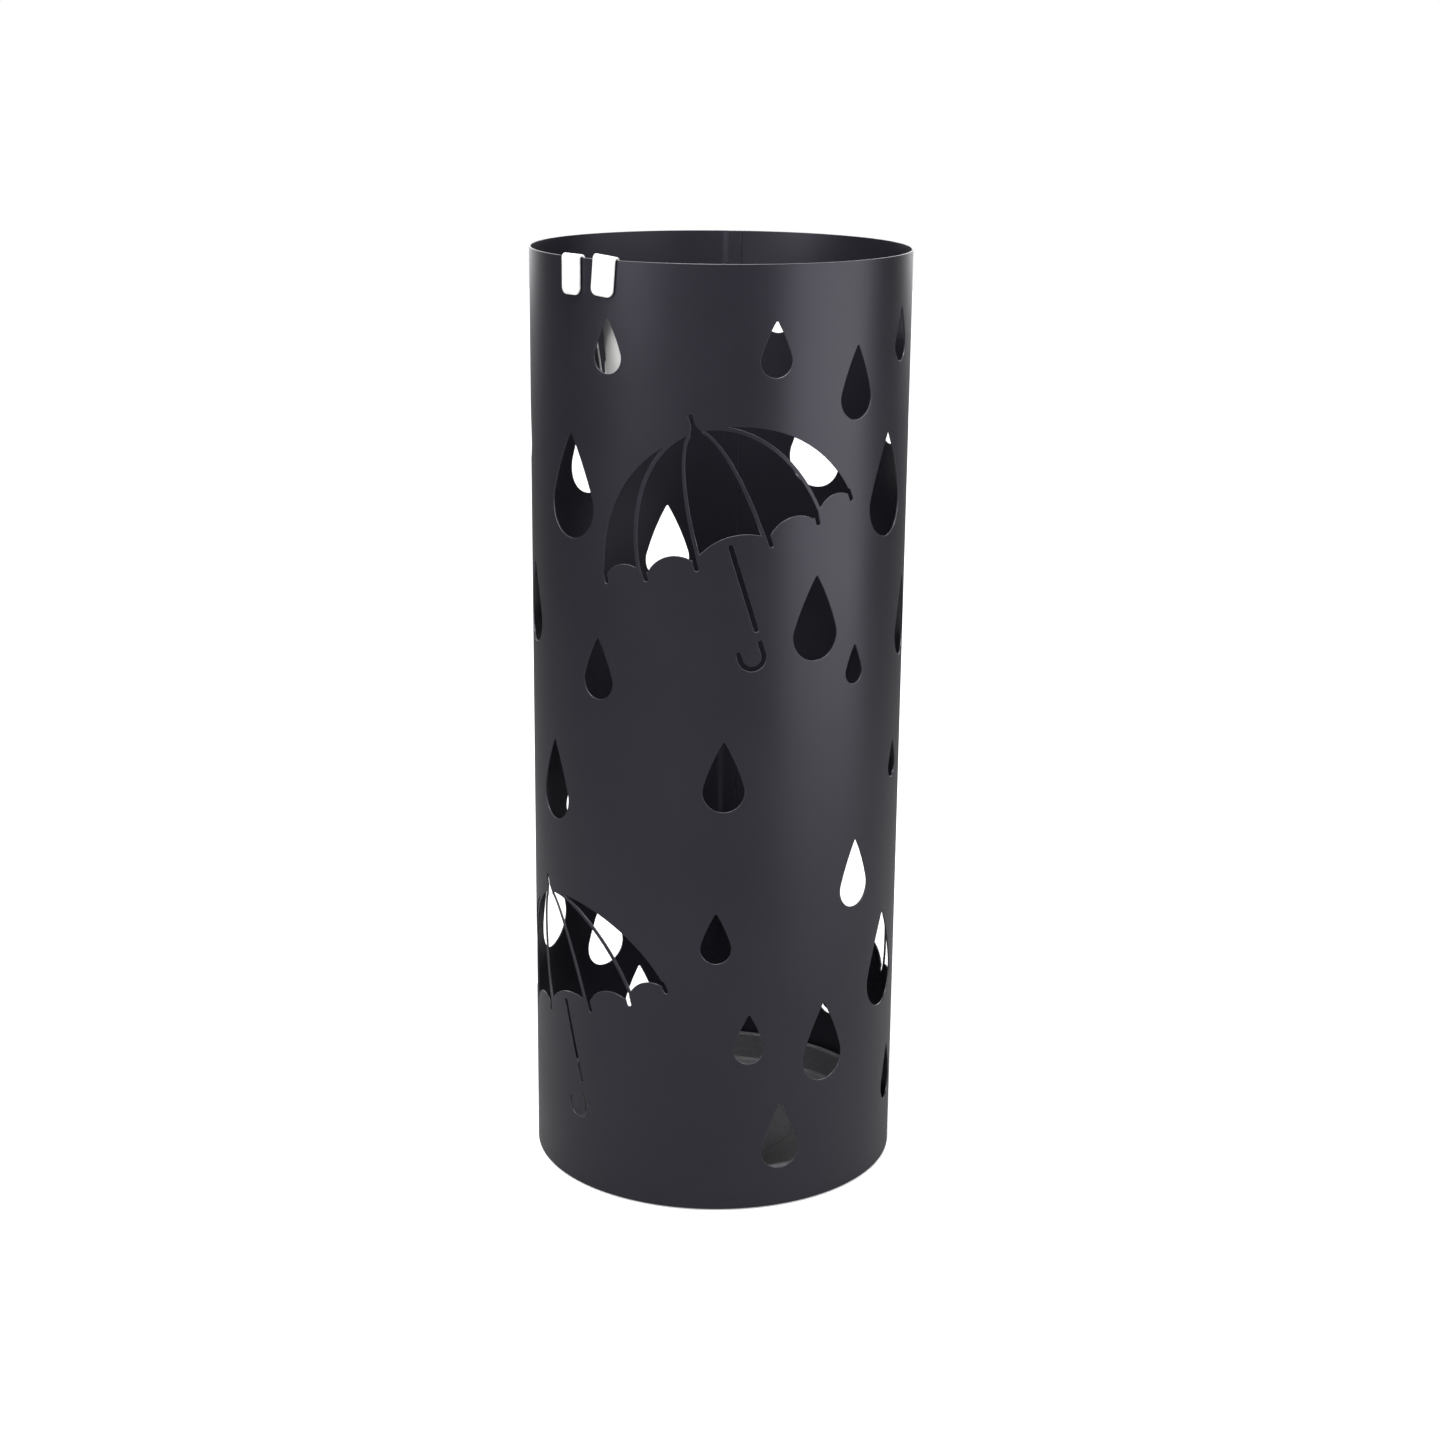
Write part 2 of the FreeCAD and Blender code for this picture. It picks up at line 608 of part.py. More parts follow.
def makeTaper(body):
    """Trims both edges of the leg, so that the strip narrows from the rim to the lip."""
    sketch = makeSketch(body, "TaperCuts", "YZ_Plane")
    half = "Sizes.hookWidth / 2"
    depth = "(Sizes.hookLeg + Sizes.hookCurl + Sizes.hookGauge)"
    # a first guess for the triangle on each side, which the sizes below then set
    start, tip, low, out = 6.5, 4.5, 66.0, 8.0
    for side in (1, -1):
        first = sketch.GeometryCount
        corners = [(side * start, 0), (side * tip, -low), (side * out, -low)]
        for index in range(3):
            ends = flat(corners[index]), flat(corners[(index + 1) % 3])
            sketch.addGeometry(Part.LineSegment(*ends), False)
        for index in range(3):
            following = first + (index + 1) % 3
            sketch.addConstraint(
                Sketcher.Constraint("Coincident", first + index, 2, following, 1))
        sketch.addConstraint(Sketcher.Constraint("PointOnObject", first, 1, -1))
        sketch.addConstraint(Sketcher.Constraint("Horizontal", first + 1))
        inward = (first, 1, -1, 1) if side < 0 else (-1, 1, first, 1)
        lower = (first, 2, -1, 1) if side < 0 else (-1, 1, first, 2)
        beyond = (first + 1, 2, -1, 1) if side < 0 else (-1, 1, first + 1, 2)
        sizes = [
            (("DistanceX", *inward, start), half),
            (("DistanceX", *lower, tip), "Sizes.hookTipWidth / 2"),
            (("DistanceX", *beyond, out), f"{half} * 1.25"),
            (("DistanceY", first, 2, -1, 1, low), depth),
        ]
        for given, text in sizes:
            number = sketch.addConstraint(Sketcher.Constraint(*given))
            sketch.setExpression(f"Constraints[{number}]", text)
    pocket = body.newObject("PartDesign::Pocket", "Taper")
    pocket.Profile = sketch
    pocket.setExpression("Length", depth)
    return pocket


def makeHook(doc, sheet, label, azimuth, lean):
    """A hook bent from one flat strip, standing on the tube's rim."""
    body = makeBody(doc, label)
    path = hookPath(body, sheet)
    section = makeSketch(body, "StripSection", "XY_Plane")
    section.setExpression(".AttachmentOffset.Base.z", "-Sizes.hookTab * 1mm")
    rectangle(section, "Sizes.hookThroat / 2", "Sizes.hookThroat / 2 + Sizes.hookGauge",
              "Sizes.hookWidth / 2")
    doc.recompute()
    strip = body.newObject("PartDesign::AdditivePipe", "Strip")
    strip.Profile = section
    strip.Spine = path
    taper = makeTaper(body)
    doc.recompute()
    if taper.Shape.Volume >= strip.Shape.Volume:
        raise RuntimeError("the hook's taper cuts nothing")
    gauge, half = sheet.hookGauge, sheet.hookWidth / 2

    def endCorner(edge):
        box = edge.BoundBox
        return abs(edge.Length - gauge) < 1e-3 and box.ZLength < 1e-3 and box.YLength < 1e-3

    filletEdges(body, "RoundCorners", taper, endCorner, "Sizes.hookCorner")
    turn = math.radians(azimuth)
    middle = (sheet.tubeDiameter - sheet.sheetGauge) / 2
    raised = half * math.sin(math.radians(lean))
    body.Placement = Placement(
        Vector(middle * math.sin(turn), -middle * math.cos(turn), sheet.tubeHeight + raised),
        Rotation(Vector(0, 0, 1), azimuth - 90) * Rotation(Vector(1, 0, 0), -lean))


# ---- document --------------------------------------------------------------

def checkedShape(piece):
    """The sub-part's shape, or an error when it is missing or broken."""
    shape = piece.Shape
    if shape.isNull() or not shape.isValid() or not shape.Solids:
        raise RuntimeError(f"{piece.Label} has no valid solid")
    return shape


def exportParts(doc):
    doc.recompute()
    for item in doc.Objects:
        if "Invalid" in item.State or "Error" in item.State:
            raise RuntimeError(f"{item.Label} failed to recompute")
    pieces = [doc.getObject("Wall")]
    pieces += [item for item in doc.Objects if item.TypeId == "PartDesign::Body"]
    shapes = {piece.Label: checkedShape(piece) for piece in pieces}
    os.makedirs("parts", exist_ok=True)
    for label, shape in shapes.items():
        shape.exportStep(f"parts/{label}.step")
        print(f"{label}: {len(shape.Solids)} solid, {shape.Volume / 1000:.1f} cm3")


def main():
    doc = FreeCAD.newDocument("UmbrellaStand")
    sheet = makeSheet(doc)
    makeWall(doc, sheet)
    makeBasePlate(doc, sheet)
    makeFeet(doc, sheet)
    makeDripTray(doc, sheet)
    makeHook(doc, sheet, "hook_left", sheet.hookLeftAngle, 0)
    makeHook(doc, sheet, "hook_right", sheet.hookRightAngle, sheet.hookRightLean)
    exportParts(doc)


main()
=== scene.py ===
import math
import bpy
import numpy as np
from mathutils import Matrix, Vector
from mathutils.geometry import delaunay_2d_cdt


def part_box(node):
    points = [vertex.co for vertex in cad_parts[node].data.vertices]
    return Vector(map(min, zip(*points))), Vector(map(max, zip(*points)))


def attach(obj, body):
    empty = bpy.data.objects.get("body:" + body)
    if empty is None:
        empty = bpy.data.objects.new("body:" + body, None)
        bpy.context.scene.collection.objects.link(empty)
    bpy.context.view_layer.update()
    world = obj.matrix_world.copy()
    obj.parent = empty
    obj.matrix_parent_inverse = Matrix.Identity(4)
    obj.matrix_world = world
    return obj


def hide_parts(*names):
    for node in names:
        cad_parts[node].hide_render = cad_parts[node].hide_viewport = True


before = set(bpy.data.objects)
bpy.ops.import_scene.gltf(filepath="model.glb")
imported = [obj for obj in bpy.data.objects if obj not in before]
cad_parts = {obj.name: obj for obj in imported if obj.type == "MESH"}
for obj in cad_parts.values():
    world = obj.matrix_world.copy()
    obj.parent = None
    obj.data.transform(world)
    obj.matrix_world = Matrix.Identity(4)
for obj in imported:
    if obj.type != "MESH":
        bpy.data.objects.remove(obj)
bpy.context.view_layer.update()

# the tube; all lengths are in metres
wallLow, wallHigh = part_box("wall")
tube = {
    "radius": (wallHigh.x - wallLow.x) / 2,     # this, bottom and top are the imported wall's
    "bottom": wallLow.z,
    "top": wallHigh.z,
    "gauge": 0.0008,            # sheet thickness
    "cutRound": 0.00022,        # rounding of every cut edge
    "cutSteps": 4,              # faces across one rounded edge
    "columnStep": 0.0042,       # spacing of the surface's own points round the tube
    "rowStep": 0.009,           # and up the tube
    "cutStep": 0.00045,         # least spacing of points along a cut edge
    "cutClear": 0.0011,         # how far the surface's own points keep from a cut edge
    "endSteps": 399,            # points along each end of the tube
    "sideSkip": 6,              # the sheet's ends have one such point in this many
    "joggleSteps": 7,           # lines of points across the inward step
    "lapLength": 0.0068,        # how far the layers overlap
    "joggle": 0.004,            # length of the step that takes the inner layer inwards
    "lapGap": 0.00005,          # air between the two layers
    "grooveDepth": 0.0005,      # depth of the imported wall's groove beside the lap
    "near": 0.00005,            # margin for telling a packed point's face by its radius
    "weld": 0.000002,           # packed points this near to each other are one
    "tallest": 0.2,             # every cut-out is lower than this, the groove is taller
}


# A mesh object at the origin; each attribute has one number per point.
def putMesh(name, vertices, faces, smooth=True, normals=None, attributes=None):
    mesh = bpy.data.meshes.new(name)
    mesh.from_pydata(np.asarray(vertices, float).tolist(), [], [list(map(int, f)) for f in faces])
    mesh.polygons.foreach_set("use_smooth", np.full(len(mesh.polygons), smooth))
    for title, values in (attributes or {}).items():
        layer = mesh.attributes.new(title, "FLOAT", "POINT")
        layer.data.foreach_set("value", np.asarray(values, np.float32))
    mesh.update()
    if normals is not None:
        mesh.normals_split_custom_set_from_vertices(np.asarray(normals, float).tolist())
    piece = bpy.data.objects.new(name, mesh)
    bpy.context.scene.collection.objects.link(piece)
    return piece


# Quads of a rows by columns grid of points; the last column joins the first.
def gridFaces(rows, columns):
    r0, c0 = np.meshgrid(np.arange(rows - 1), np.arange(columns), indexing="ij")
    r1, c1 = r0 + 1, (c0 + 1) % columns
    quads = np.stack([r0 * columns + c0, r0 * columns + c1,
                      r1 * columns + c1, r1 * columns + c0], -1)
    return quads.reshape(-1, 4)


# An outline whose inner corners are replaced by arcs that touch both neighbouring sides.
# The arc's tangent length is radius times tan(turn / 2); its points are spaced evenly by angle.
def roundedLine(points, radii, steps=6):
    points = np.asarray(points, float)
    out = [points[0]]
    for index in range(1, len(points) - 1):
        radius = radii[index - 1]
        before = points[index - 1] - points[index]
        after = points[index + 1] - points[index]
        before /= np.linalg.norm(before)
        after /= np.linalg.norm(after)
        half = math.acos(np.clip(before @ after, -1, 1)) / 2
        if radius <= 0 or half > math.pi / 2 - 1e-3:
            out.append(points[index])
            continue
        bisector = (before + after) / np.linalg.norm(before + after)
        centre = points[index] + bisector * radius / math.sin(half)
        start = points[index] + before * radius / math.tan(half) - centre
        end = points[index] + after * radius / math.tan(half) - centre
        sweep = math.pi - 2 * half
        t = np.linspace(0, 1, steps + 1)[:, None]
        arc = (np.sin((1 - t) * sweep) * start + np.sin(t * sweep) * end) / math.sin(sweep)
        out.extend(centre + arc)
    out.append(points[-1])
    return np.array(out)


# A profile of (radius, height) points turned round a vertical axis.
# The first and last points lie on the axis and become poles. Point (i, j) is
# (radius_i cos(angle_j), radius_i sin(angle_j), height_i).
def lathe(name, profile, segments, centre=(0, 0)):
    profile = np.asarray(profile, float)
    ring = profile[1:-1]
    angle = np.linspace(0, 2 * math.pi, segments, endpoint=False)
    x = ring[:, :1] * np.cos(angle) + centre[0]
    y = ring[:, :1] * np.sin(angle) + centre[1]
    z = np.repeat(ring[:, 1:], segments, 1)
    vertices = np.stack([x, y, z], -1).reshape(-1, 3)
    faces = gridFaces(len(ring), segments).tolist()
    low, high = len(vertices), len(vertices) + 1
    poles = [[centre[0], centre[1], profile[0, 1]], [centre[0], centre[1], profile[-1, 1]]]
    vertices = np.vstack([vertices, poles])
    j = np.arange(segments)
    k = (j + 1) % segments
    last = (len(ring) - 1) * segments
    faces += np.stack([k, j, np.full(segments, low)], -1).tolist()
    faces += np.stack([last + j, last + k, np.full(segments, high)], -1).tolist()
    return putMesh(name, vertices, faces)


# 0 below 0, 1 above 1, and 3 t^2 - 2 t^3 between.
def smoothStep(t):
    t = np.clip(t, 0, 1)
    return t * t * (3 - 2 * t)


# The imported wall's welded points, its triangles, and each point's radius and turn.
# turn = 0 at the front and grows towards the right.
def wallArrays():
    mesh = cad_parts["wall"].data
    mesh.calc_loop_triangles()
    points = np.zeros(len(mesh.vertices) * 3, np.float32)
    mesh.vertices.foreach_get("co", points)
    triangles = np.zeros(len(mesh.loop_triangles) * 3, np.int32)
    mesh.loop_triangles.foreach_get("vertices", triangles)
    grid = np.round(points.reshape(-1, 3) / tube["weld"]).astype(np.int64)
    _, first, same = np.unique(grid, axis=0, return_index=True, return_inverse=True)
    points = points.reshape(-1, 3)[first].astype(float)
    triangles = same.reshape(-1)[triangles].reshape(-1, 3)
    radius = np.hypot(points[:, 0], points[:, 1])
    turn = np.arctan2(points[:, 0], -points[:, 1])
    return points, triangles, radius, turn


# The wall's openings as closed lists of (round, up) points on the flat sheet, and the
# turn at which the outer layer of the lap ends.
# An outline is where triangles of the outer face end; round is the tube's radius times
# the turn, counted backwards from the end of the outer layer.
def readOutlines():
    points, triangles, radius, turn = wallArrays()
    outside = radius > tube["radius"] - tube["near"]
    groove = abs(tube["radius"] - tube["grooveDepth"] - radius) < tube["near"]
    lapEnd = float(np.mean(turn[groove] % (2 * math.pi)))
    skin = triangles[outside[triangles].all(1)]
    edges = np.vstack([skin[:, [0, 1]], skin[:, [1, 2]], skin[:, [2, 0]]])
    pairs = set(map(tuple, edges.tolist()))
    following = {a: b for a, b in pairs if (b, a) not in pairs}
    outlines = []
    while following:
        start, here = following.popitem()
        loop = [start]
        while here != start:
            loop.append(here)
            here = following.pop(here)
        angle = (turn[loop] - lapEnd) % (2 * math.pi) - 2 * math.pi
        flat = np.stack([angle * tube["radius"], points[loop, 2]], -1)
        if np.ptp(flat[:, 1]) < tube["tallest"]:
            outlines.append(flat)
    return outlines, lapEnd


# The outline without points nearer than spacing to the one kept before, or than 0.6 of it
# to the first.
def thinned(outline, spacing):
    kept = [0]
    for index in range(1, len(outline)):
        step = np.linalg.norm(outline[index] - outline[kept[-1]])
        if step > spacing and np.linalg.norm(outline[index] - outline[0]) > spacing * 0.6:
            kept.append(index)
    return outline[kept]


# At each point of a closed outline, the step to its left that keeps a unit offset; at a
# sharp corner the step is at most 2 long.
def sideways(outline):
    before = outline - np.roll(outline, 1, 0)
    after = np.roll(outline, -1, 0) - outline
    before /= np.linalg.norm(before, axis=1)[:, None]
    after /= np.linalg.norm(after, axis=1)[:, None]
    normal = np.stack([-(before + after)[:, 1], (before + after)[:, 0]], -1)
    normal /= np.linalg.norm(normal, axis=1)[:, None] + 1e-12
    left = np.stack([-after[:, 1], after[:, 0]], -1)
    return normal / np.clip((normal * left).sum(1), 0.5, 1)[:, None]


# Which points lie inside a closed outline: a line to the right crosses it oddly often.
def inside(points, outline):
    low, high = outline.min(0), outline.max(0)
    near = np.nonzero(((points >= low) & (points <= high)).all(1))[0]
    x, y = points[near, 0][:, None], points[near, 1][:, None]
    x0, y0 = outline[:, 0], outline[:, 1]
    x1, y1 = np.roll(x0, -1), np.roll(y0, -1)
    spans = (y0 > y) != (y1 > y)
    rise = np.where(y1 == y0, 1e-12, y1 - y0)
    crossing = x0 + (y - y0) * (x1 - x0) / rise
    result = np.zeros(len(points), bool)
    result[near] = (spans & (x < crossing)).sum(1) % 2 == 1
    return result


# Flat sheet points rolled up, and their outward normals.
# Point = ((R - depth) sin turn, -(R - depth) cos turn, up), with turn = round / radius +
# lapEnd. R falls by the gauge and the lap's gap, in a smooth step, where the sheet goes
# under its other end.
def rolled(flat, depth, lapEnd):
    turn = flat[:, 0] / tube["radius"] + lapEnd
    full = -2 * math.pi * tube["radius"]
    t = (full + tube["joggle"] - flat[:, 0]) / tube["joggle"]
    stepIn = tube["gauge"] + tube["lapGap"]
    radius = tube["radius"] - stepIn * smoothStep(t) - depth
    slope = stepIn * 6 * np.clip(t, 0, 1) * (1 - np.clip(t, 0, 1)) / tube["joggle"]
    out = np.stack([np.sin(turn), -np.cos(turn), np.zeros_like(turn)], -1)
    along = np.stack([np.cos(turn), np.sin(turn), np.zeros_like(turn)], -1)
    normal = out - slope[:, None] * along
    normal /= np.linalg.norm(normal, axis=1)[:, None]
    points = out * radius[:, None]
    points[:, 2] = flat[:, 1]
    return points, normal, along


# Points of the sheet's surface: the offset outlines, then a grid kept clear of them.
# The sheet runs from left to 0, where its outer layer ends.
def sheetPoints(loops, left):
    low, high = tube["bottom"], tube["top"]
    columns = int(-left / tube["columnStep"])
    rows = int((high - low) / tube["rowStep"])
    x = np.linspace(left, 0, columns)[1:-1]
    joggle = left + tube["lapLength"] + np.linspace(0, tube["joggle"], tube["joggleSteps"])
    y = np.linspace(low, high, rows)[1:-1]
    gx, gy = np.meshgrid(np.union1d(x, joggle), y)
    grid = np.stack([gx.ravel(), gy.ravel()], -1)
    outline = np.vstack(loops)
    keep = np.ones(len(grid), bool)
    batch = 500
    for start in range(0, len(grid), batch):
        part = grid[start:start + batch]
        gap = np.hypot(part[:, None, 0] - outline[:, 0], part[:, None, 1] - outline[:, 1])
        keep[start:start + batch] = gap.min(1) > tube["cutClear"]
    for loop in loops[1:]:
        keep &= ~inside(grid, loop)
    return np.vstack([outline, grid[keep]])


# The flat sheet's own rectangle as a closed outline, finer along the tube's two ends.
def sheetBorder(left):
    low, high = tube["bottom"], tube["top"]
    corners = np.array([(left, low), (0, low), (0, high), (left, high), (left, low)])
    fine = np.linspace(0, 1, tube["endSteps"] + 1)[:-1, None]
    coarse = fine[::tube["sideSkip"]]
    return np.vstack([corners[index] + (corners[index + 1] - corners[index]) * places
                      for index, places in enumerate((fine, coarse, fine, coarse))])


# The sheet's flat points, its triangles, all facing up, and each given point's number there.
def flatSheet(outlines, left):
    points = sheetPoints(outlines, left)
    starts = np.cumsum([0] + [len(loop) for loop in outlines])
    links = []
    for start, loop in zip(starts, outlines):
        index = np.arange(len(loop))
        links += (start + np.stack([index, (index + 1) % len(loop)], -1)).tolist()
    corners, _, triangles, sources, _, _ = delaunay_2d_cdt(
        [tuple(point) for point in points], links, [], 0, 1e-7, True)
    flat = np.array([tuple(corner) for corner in corners])
    place = np.full(len(points), -1)
    for index, source in enumerate(sources):
        place[source] = index
    triangles = np.array(triangles)
    middle = flat[triangles].mean(1)
    keep = inside(middle, outlines[0])
    for loop in outlines[1:]:
        keep &= ~inside(middle, loop)
    triangles = triangles[keep]
    a, b, c = (flat[triangles[:, k]] for k in range(3))
    turned = (b[:, 0] - a[:, 0]) * (c[:, 1] - a[:, 1]) < (b[:, 1] - a[:, 1]) * (c[:, 0] - a[:, 0])
    triangles[turned] = triangles[turned][:, ::-1]
    return flat, triangles, place, starts


# Rows of points round a cut edge: (step back from the edge, depth, tilt of the normal).
# A quarter round at the outer face and one at the inner: step = r - r sin t, depth = r - r cos t.
def edgeRows():
    r = tube["cutRound"]
    bend = np.linspace(0, math.pi / 2, tube["cutSteps"] + 1)[1:]
    rows = [(r - r * math.sin(t), r - r * math.cos(t), t) for t in bend]
    return rows + [(step, tube["gauge"] - depth, math.pi - t) for step, depth, t in rows[::-1]]


# The whole tube: a flat sheet with rounded cut edges, rolled round until its ends lap.
def makeWall():
    outlines, lapEnd = readOutlines()
    left = -2 * math.pi * tube["radius"] - tube["lapLength"]
    loops = [sheetBorder(left)] + [thinned(outline, tube["cutStep"]) for outline in outlines]
    sides = [sideways(loop) for loop in loops]
    moved = [loop + side * tube["cutRound"] for loop, side in zip(loops, sides)]
    flat, triangles, place, starts = flatSheet(moved, left)
    count = len(flat)
    outer, outward, _ = rolled(flat, 0, lapEnd)
    inner, _, _ = rolled(flat, tube["gauge"], lapEnd)
    vertices, normals = [outer, inner], [outward, -outward]
    mask = [np.zeros(2 * count)]
    faces = triangles.tolist() + (triangles[:, ::-1] + count).tolist()
    total = 2 * count
    for start, loop, side in zip(starts, loops, sides):
        own = place[start:start + len(loop)]
        unit = side / np.linalg.norm(side, axis=1)[:, None]
        ring = [own]
        for step, depth, tilt in edgeRows():
            position, out, along = rolled(loop + side * step, depth, lapEnd)
            away = -(along * unit[:, :1] + np.array([0, 0, 1.0]) * unit[:, 1:])
            vertices.append(position)
            normals.append(out * math.cos(tilt) + away * math.sin(tilt))
            mask.append(np.ones(len(loop)))
            ring.append(total + np.arange(len(loop)))
            total += len(loop)
        ring.append(own + count)
        quads = gridFaces(len(ring), len(loop))
        faces += np.array(ring).ravel()[quads][:, ::-1].tolist()
    wall = putMesh("tube", np.vstack(vertices), faces, normals=np.vstack(normals),
                   attributes={"cutEdge": np.concatenate(mask)})
    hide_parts("wall")
    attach(wall, "stand")
    print("tube:", len(outlines), "openings,", len(faces), "faces")
    return wall


plate = {                       # base plate
    "gauge": 0.0008,
    "bend": 0.0015,             # outer radius of the bend into the flange
    "rim": 0.0003,              # rounding of the flange's lower edges
    "segments": 160,
}


# A pressed disc with a rounded bend, its flange turned down inside the tube.
def makeBasePlate():
    low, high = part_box("base_plate")
    out, top = high.x, high.z
    inner, under = out - plate["gauge"], top - plate["gauge"]
    flat = [(0, under), (inner, under), (inner, low.z), (out, low.z), (out, top), (0, top)]
    radii = [plate["bend"] - plate["gauge"], plate["rim"], plate["rim"], plate["bend"]]
    piece = lathe("basePlate", roundedLine(flat, radii), plate["segments"])
    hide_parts("base_plate")
    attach(piece, "stand")
    print("base plate")
    return piece


pan = {                         # drip tray
    "wall": 0.0012,
    "lip": 0.0024,              # how far the lip stands out from the side
    "draft": 3.0,               # slope of the side in degrees
    "foot": 0.00168,            # rounding under the side
    "soft": 0.0006,             # rounding of the rings and the lip's foot
    "lipSoft": 0.00055,         # rounding of the lip's edge, nearly half its thickness
    "corner": 0.0018,           # rounding where the side meets the floor inside
    "rings": (0.066, 0.044, 0.022),     # radii of the raised rings on the floor
    "ringHeight": 0.0006,
    "ringWidth": 0.0016,        # width of a ring's top
    "segments": 160,
}


# A moulded pan: sloping side, lip, and low rings that keep the tips out of the water.
def makeDripTray():
    low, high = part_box("drip_tray")
    out, top, wall = high.x, high.z, pan["wall"]
    side = out - pan["lip"]
    foot = side - (top - low.z) * math.tan(math.radians(pan["draft"]))
    floor = low.z + wall
    line = [(0, low.z), (foot, low.z), (side, top - wall), (out, top - wall),
            (out, top), (side - wall, top), (foot - wall, floor)]
    radii = [pan["foot"], pan["soft"], pan["lipSoft"], pan["lipSoft"], pan["soft"], pan["corner"]]
    half, width, crest = pan["ringWidth"] / 2, pan["ringWidth"], floor + pan["ringHeight"]
    for radius in pan["rings"]:
        line += [(radius + width, floor), (radius + half, crest),
                 (radius - half, crest), (radius - width, floor)]
        radii += [pan["soft"]] * 4
    line.append((0, floor))
    tray = lathe("dripTray", roundedLine(line, radii), pan["segments"])
    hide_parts("drip_tray")
    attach(tray, "tray")
    print("drip tray")
    return tray


pad = {                         # each foot
    "edge": 0.0008,             # rounding of the lower edge
    "topEdge": 0.0002,
    "cup": 0.0005,              # depth of the hollow underneath
    "cupShare": 0.55,           # its radius, as a share of the foot's
    "cupSlope": 0.0008,         # width of its sloping side
    "cupSoft": (0.0004, 0.0003),
    "segments": 48,
}


# Round rubber pads with a soft lower edge and a shallow cup underneath.
def makeFeet():
    feet = []
    for node in sorted(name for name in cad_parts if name.startswith("foot_")):
        low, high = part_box(node)
        radius = (high.x - low.x) / 2
        centre = ((low.x + high.x) / 2, (low.y + high.y) / 2)
        cup, hollow = radius * pad["cupShare"], low.z + pad["cup"]
        line = [(0, hollow), (cup, hollow), (cup + pad["cupSlope"], low.z),
                (radius, low.z), (radius, high.z), (0, high.z)]
        radii = [*pad["cupSoft"], pad["edge"], pad["topEdge"]]
        _, end, side = node.split("_")
        foot = lathe("foot" + end.title() + side.title(),
                     roundedLine(line, radii), pad["segments"], centre)
        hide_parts(node)
        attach(foot, "stand")
        feet.append(foot)
    print("feet:", len(feet))
    return feet


strip = {
    "width": 0.013,
    "tipWidth": 0.009,          # width at the lip
    "gauge": 0.0012,
    "throat": 0.002,            # gap that straddles the tube's wall
    "tab": 0.018,               # outer tab below the rim
    "leg": 0.060,
    "splay": 12.0,              # slope of the leg, degrees from vertical
    "curl": 0.005,              # radius of the curl's middle line
    "lip": 0.007,
    "corner": 0.0035,           # rounding of the tab's and the lip's corners
    "edgeRound": 0.0003,        # rounding of the strip's long edges
    "rest": 0.00005,            # air between the hook and the rim that it hangs on
    "endStep": 0.000001,        # shift of the rows of points that round the ends
    "overSteps": 15,            # points along each stretch of the strip's middle line
    "tabSteps": 40,
    "legSteps": 60,
    "curlSteps": 19,
    "lipSteps": 24,
    "cornerSteps": 12,          # rows of points that round each end
    "edgeSteps": 4,             # points across each rounded long edge
}
hookPlaces = {                  # turn round the tube from the front, and lean, in degrees
    "hook_left": (-47.2, 0.0),
    "hook_right": (-34.4, 5.0),
}


# The strip's middle line seen from the side, (out, up), and its lengths so far.
# Straight up the tab, nearly half round over the rim, straight down the splayed leg, round the
# curl and up the lip; each arc touches the straights beside it.
def stripLine():
    splay = math.radians(strip["splay"])
    bend = (strip["throat"] + strip["gauge"]) / 2
    filled = tube["gauge"] + strip["width"] ** 2 / (4 * tube["radius"])
    seat = strip["rest"] - math.sqrt(strip["throat"] ** 2 - filled ** 2) / 2
    over = np.linspace(0, math.pi - splay, strip["overSteps"])
    legTop = np.array([-bend * math.cos(splay), seat + bend * math.sin(splay)])
    legEnd = legTop - np.array([math.sin(splay), math.cos(splay)]) * strip["leg"]
    curl = legEnd + np.array([-math.cos(splay), math.sin(splay)]) * strip["curl"]
    bowl = np.linspace(-splay, -math.pi, strip["curlSteps"])
    parts = [
        np.linspace((bend, -strip["tab"]), (bend, seat), strip["tabSteps"])[:-1],
        np.stack([bend * np.cos(over), seat + bend * np.sin(over)], -1),
        np.linspace(legTop, legEnd, strip["legSteps"])[1:-1],
        curl + strip["curl"] * np.stack([np.cos(bowl), np.sin(bowl)], -1),
        np.linspace(curl - (strip["curl"], 0), curl + (-strip["curl"], strip["lip"]),
                    strip["lipSteps"])[1:],
    ]
    line = np.vstack(parts)
    run = np.concatenate([[0], np.cumsum(np.linalg.norm(np.diff(line, axis=0), axis=1))])
    return line, run


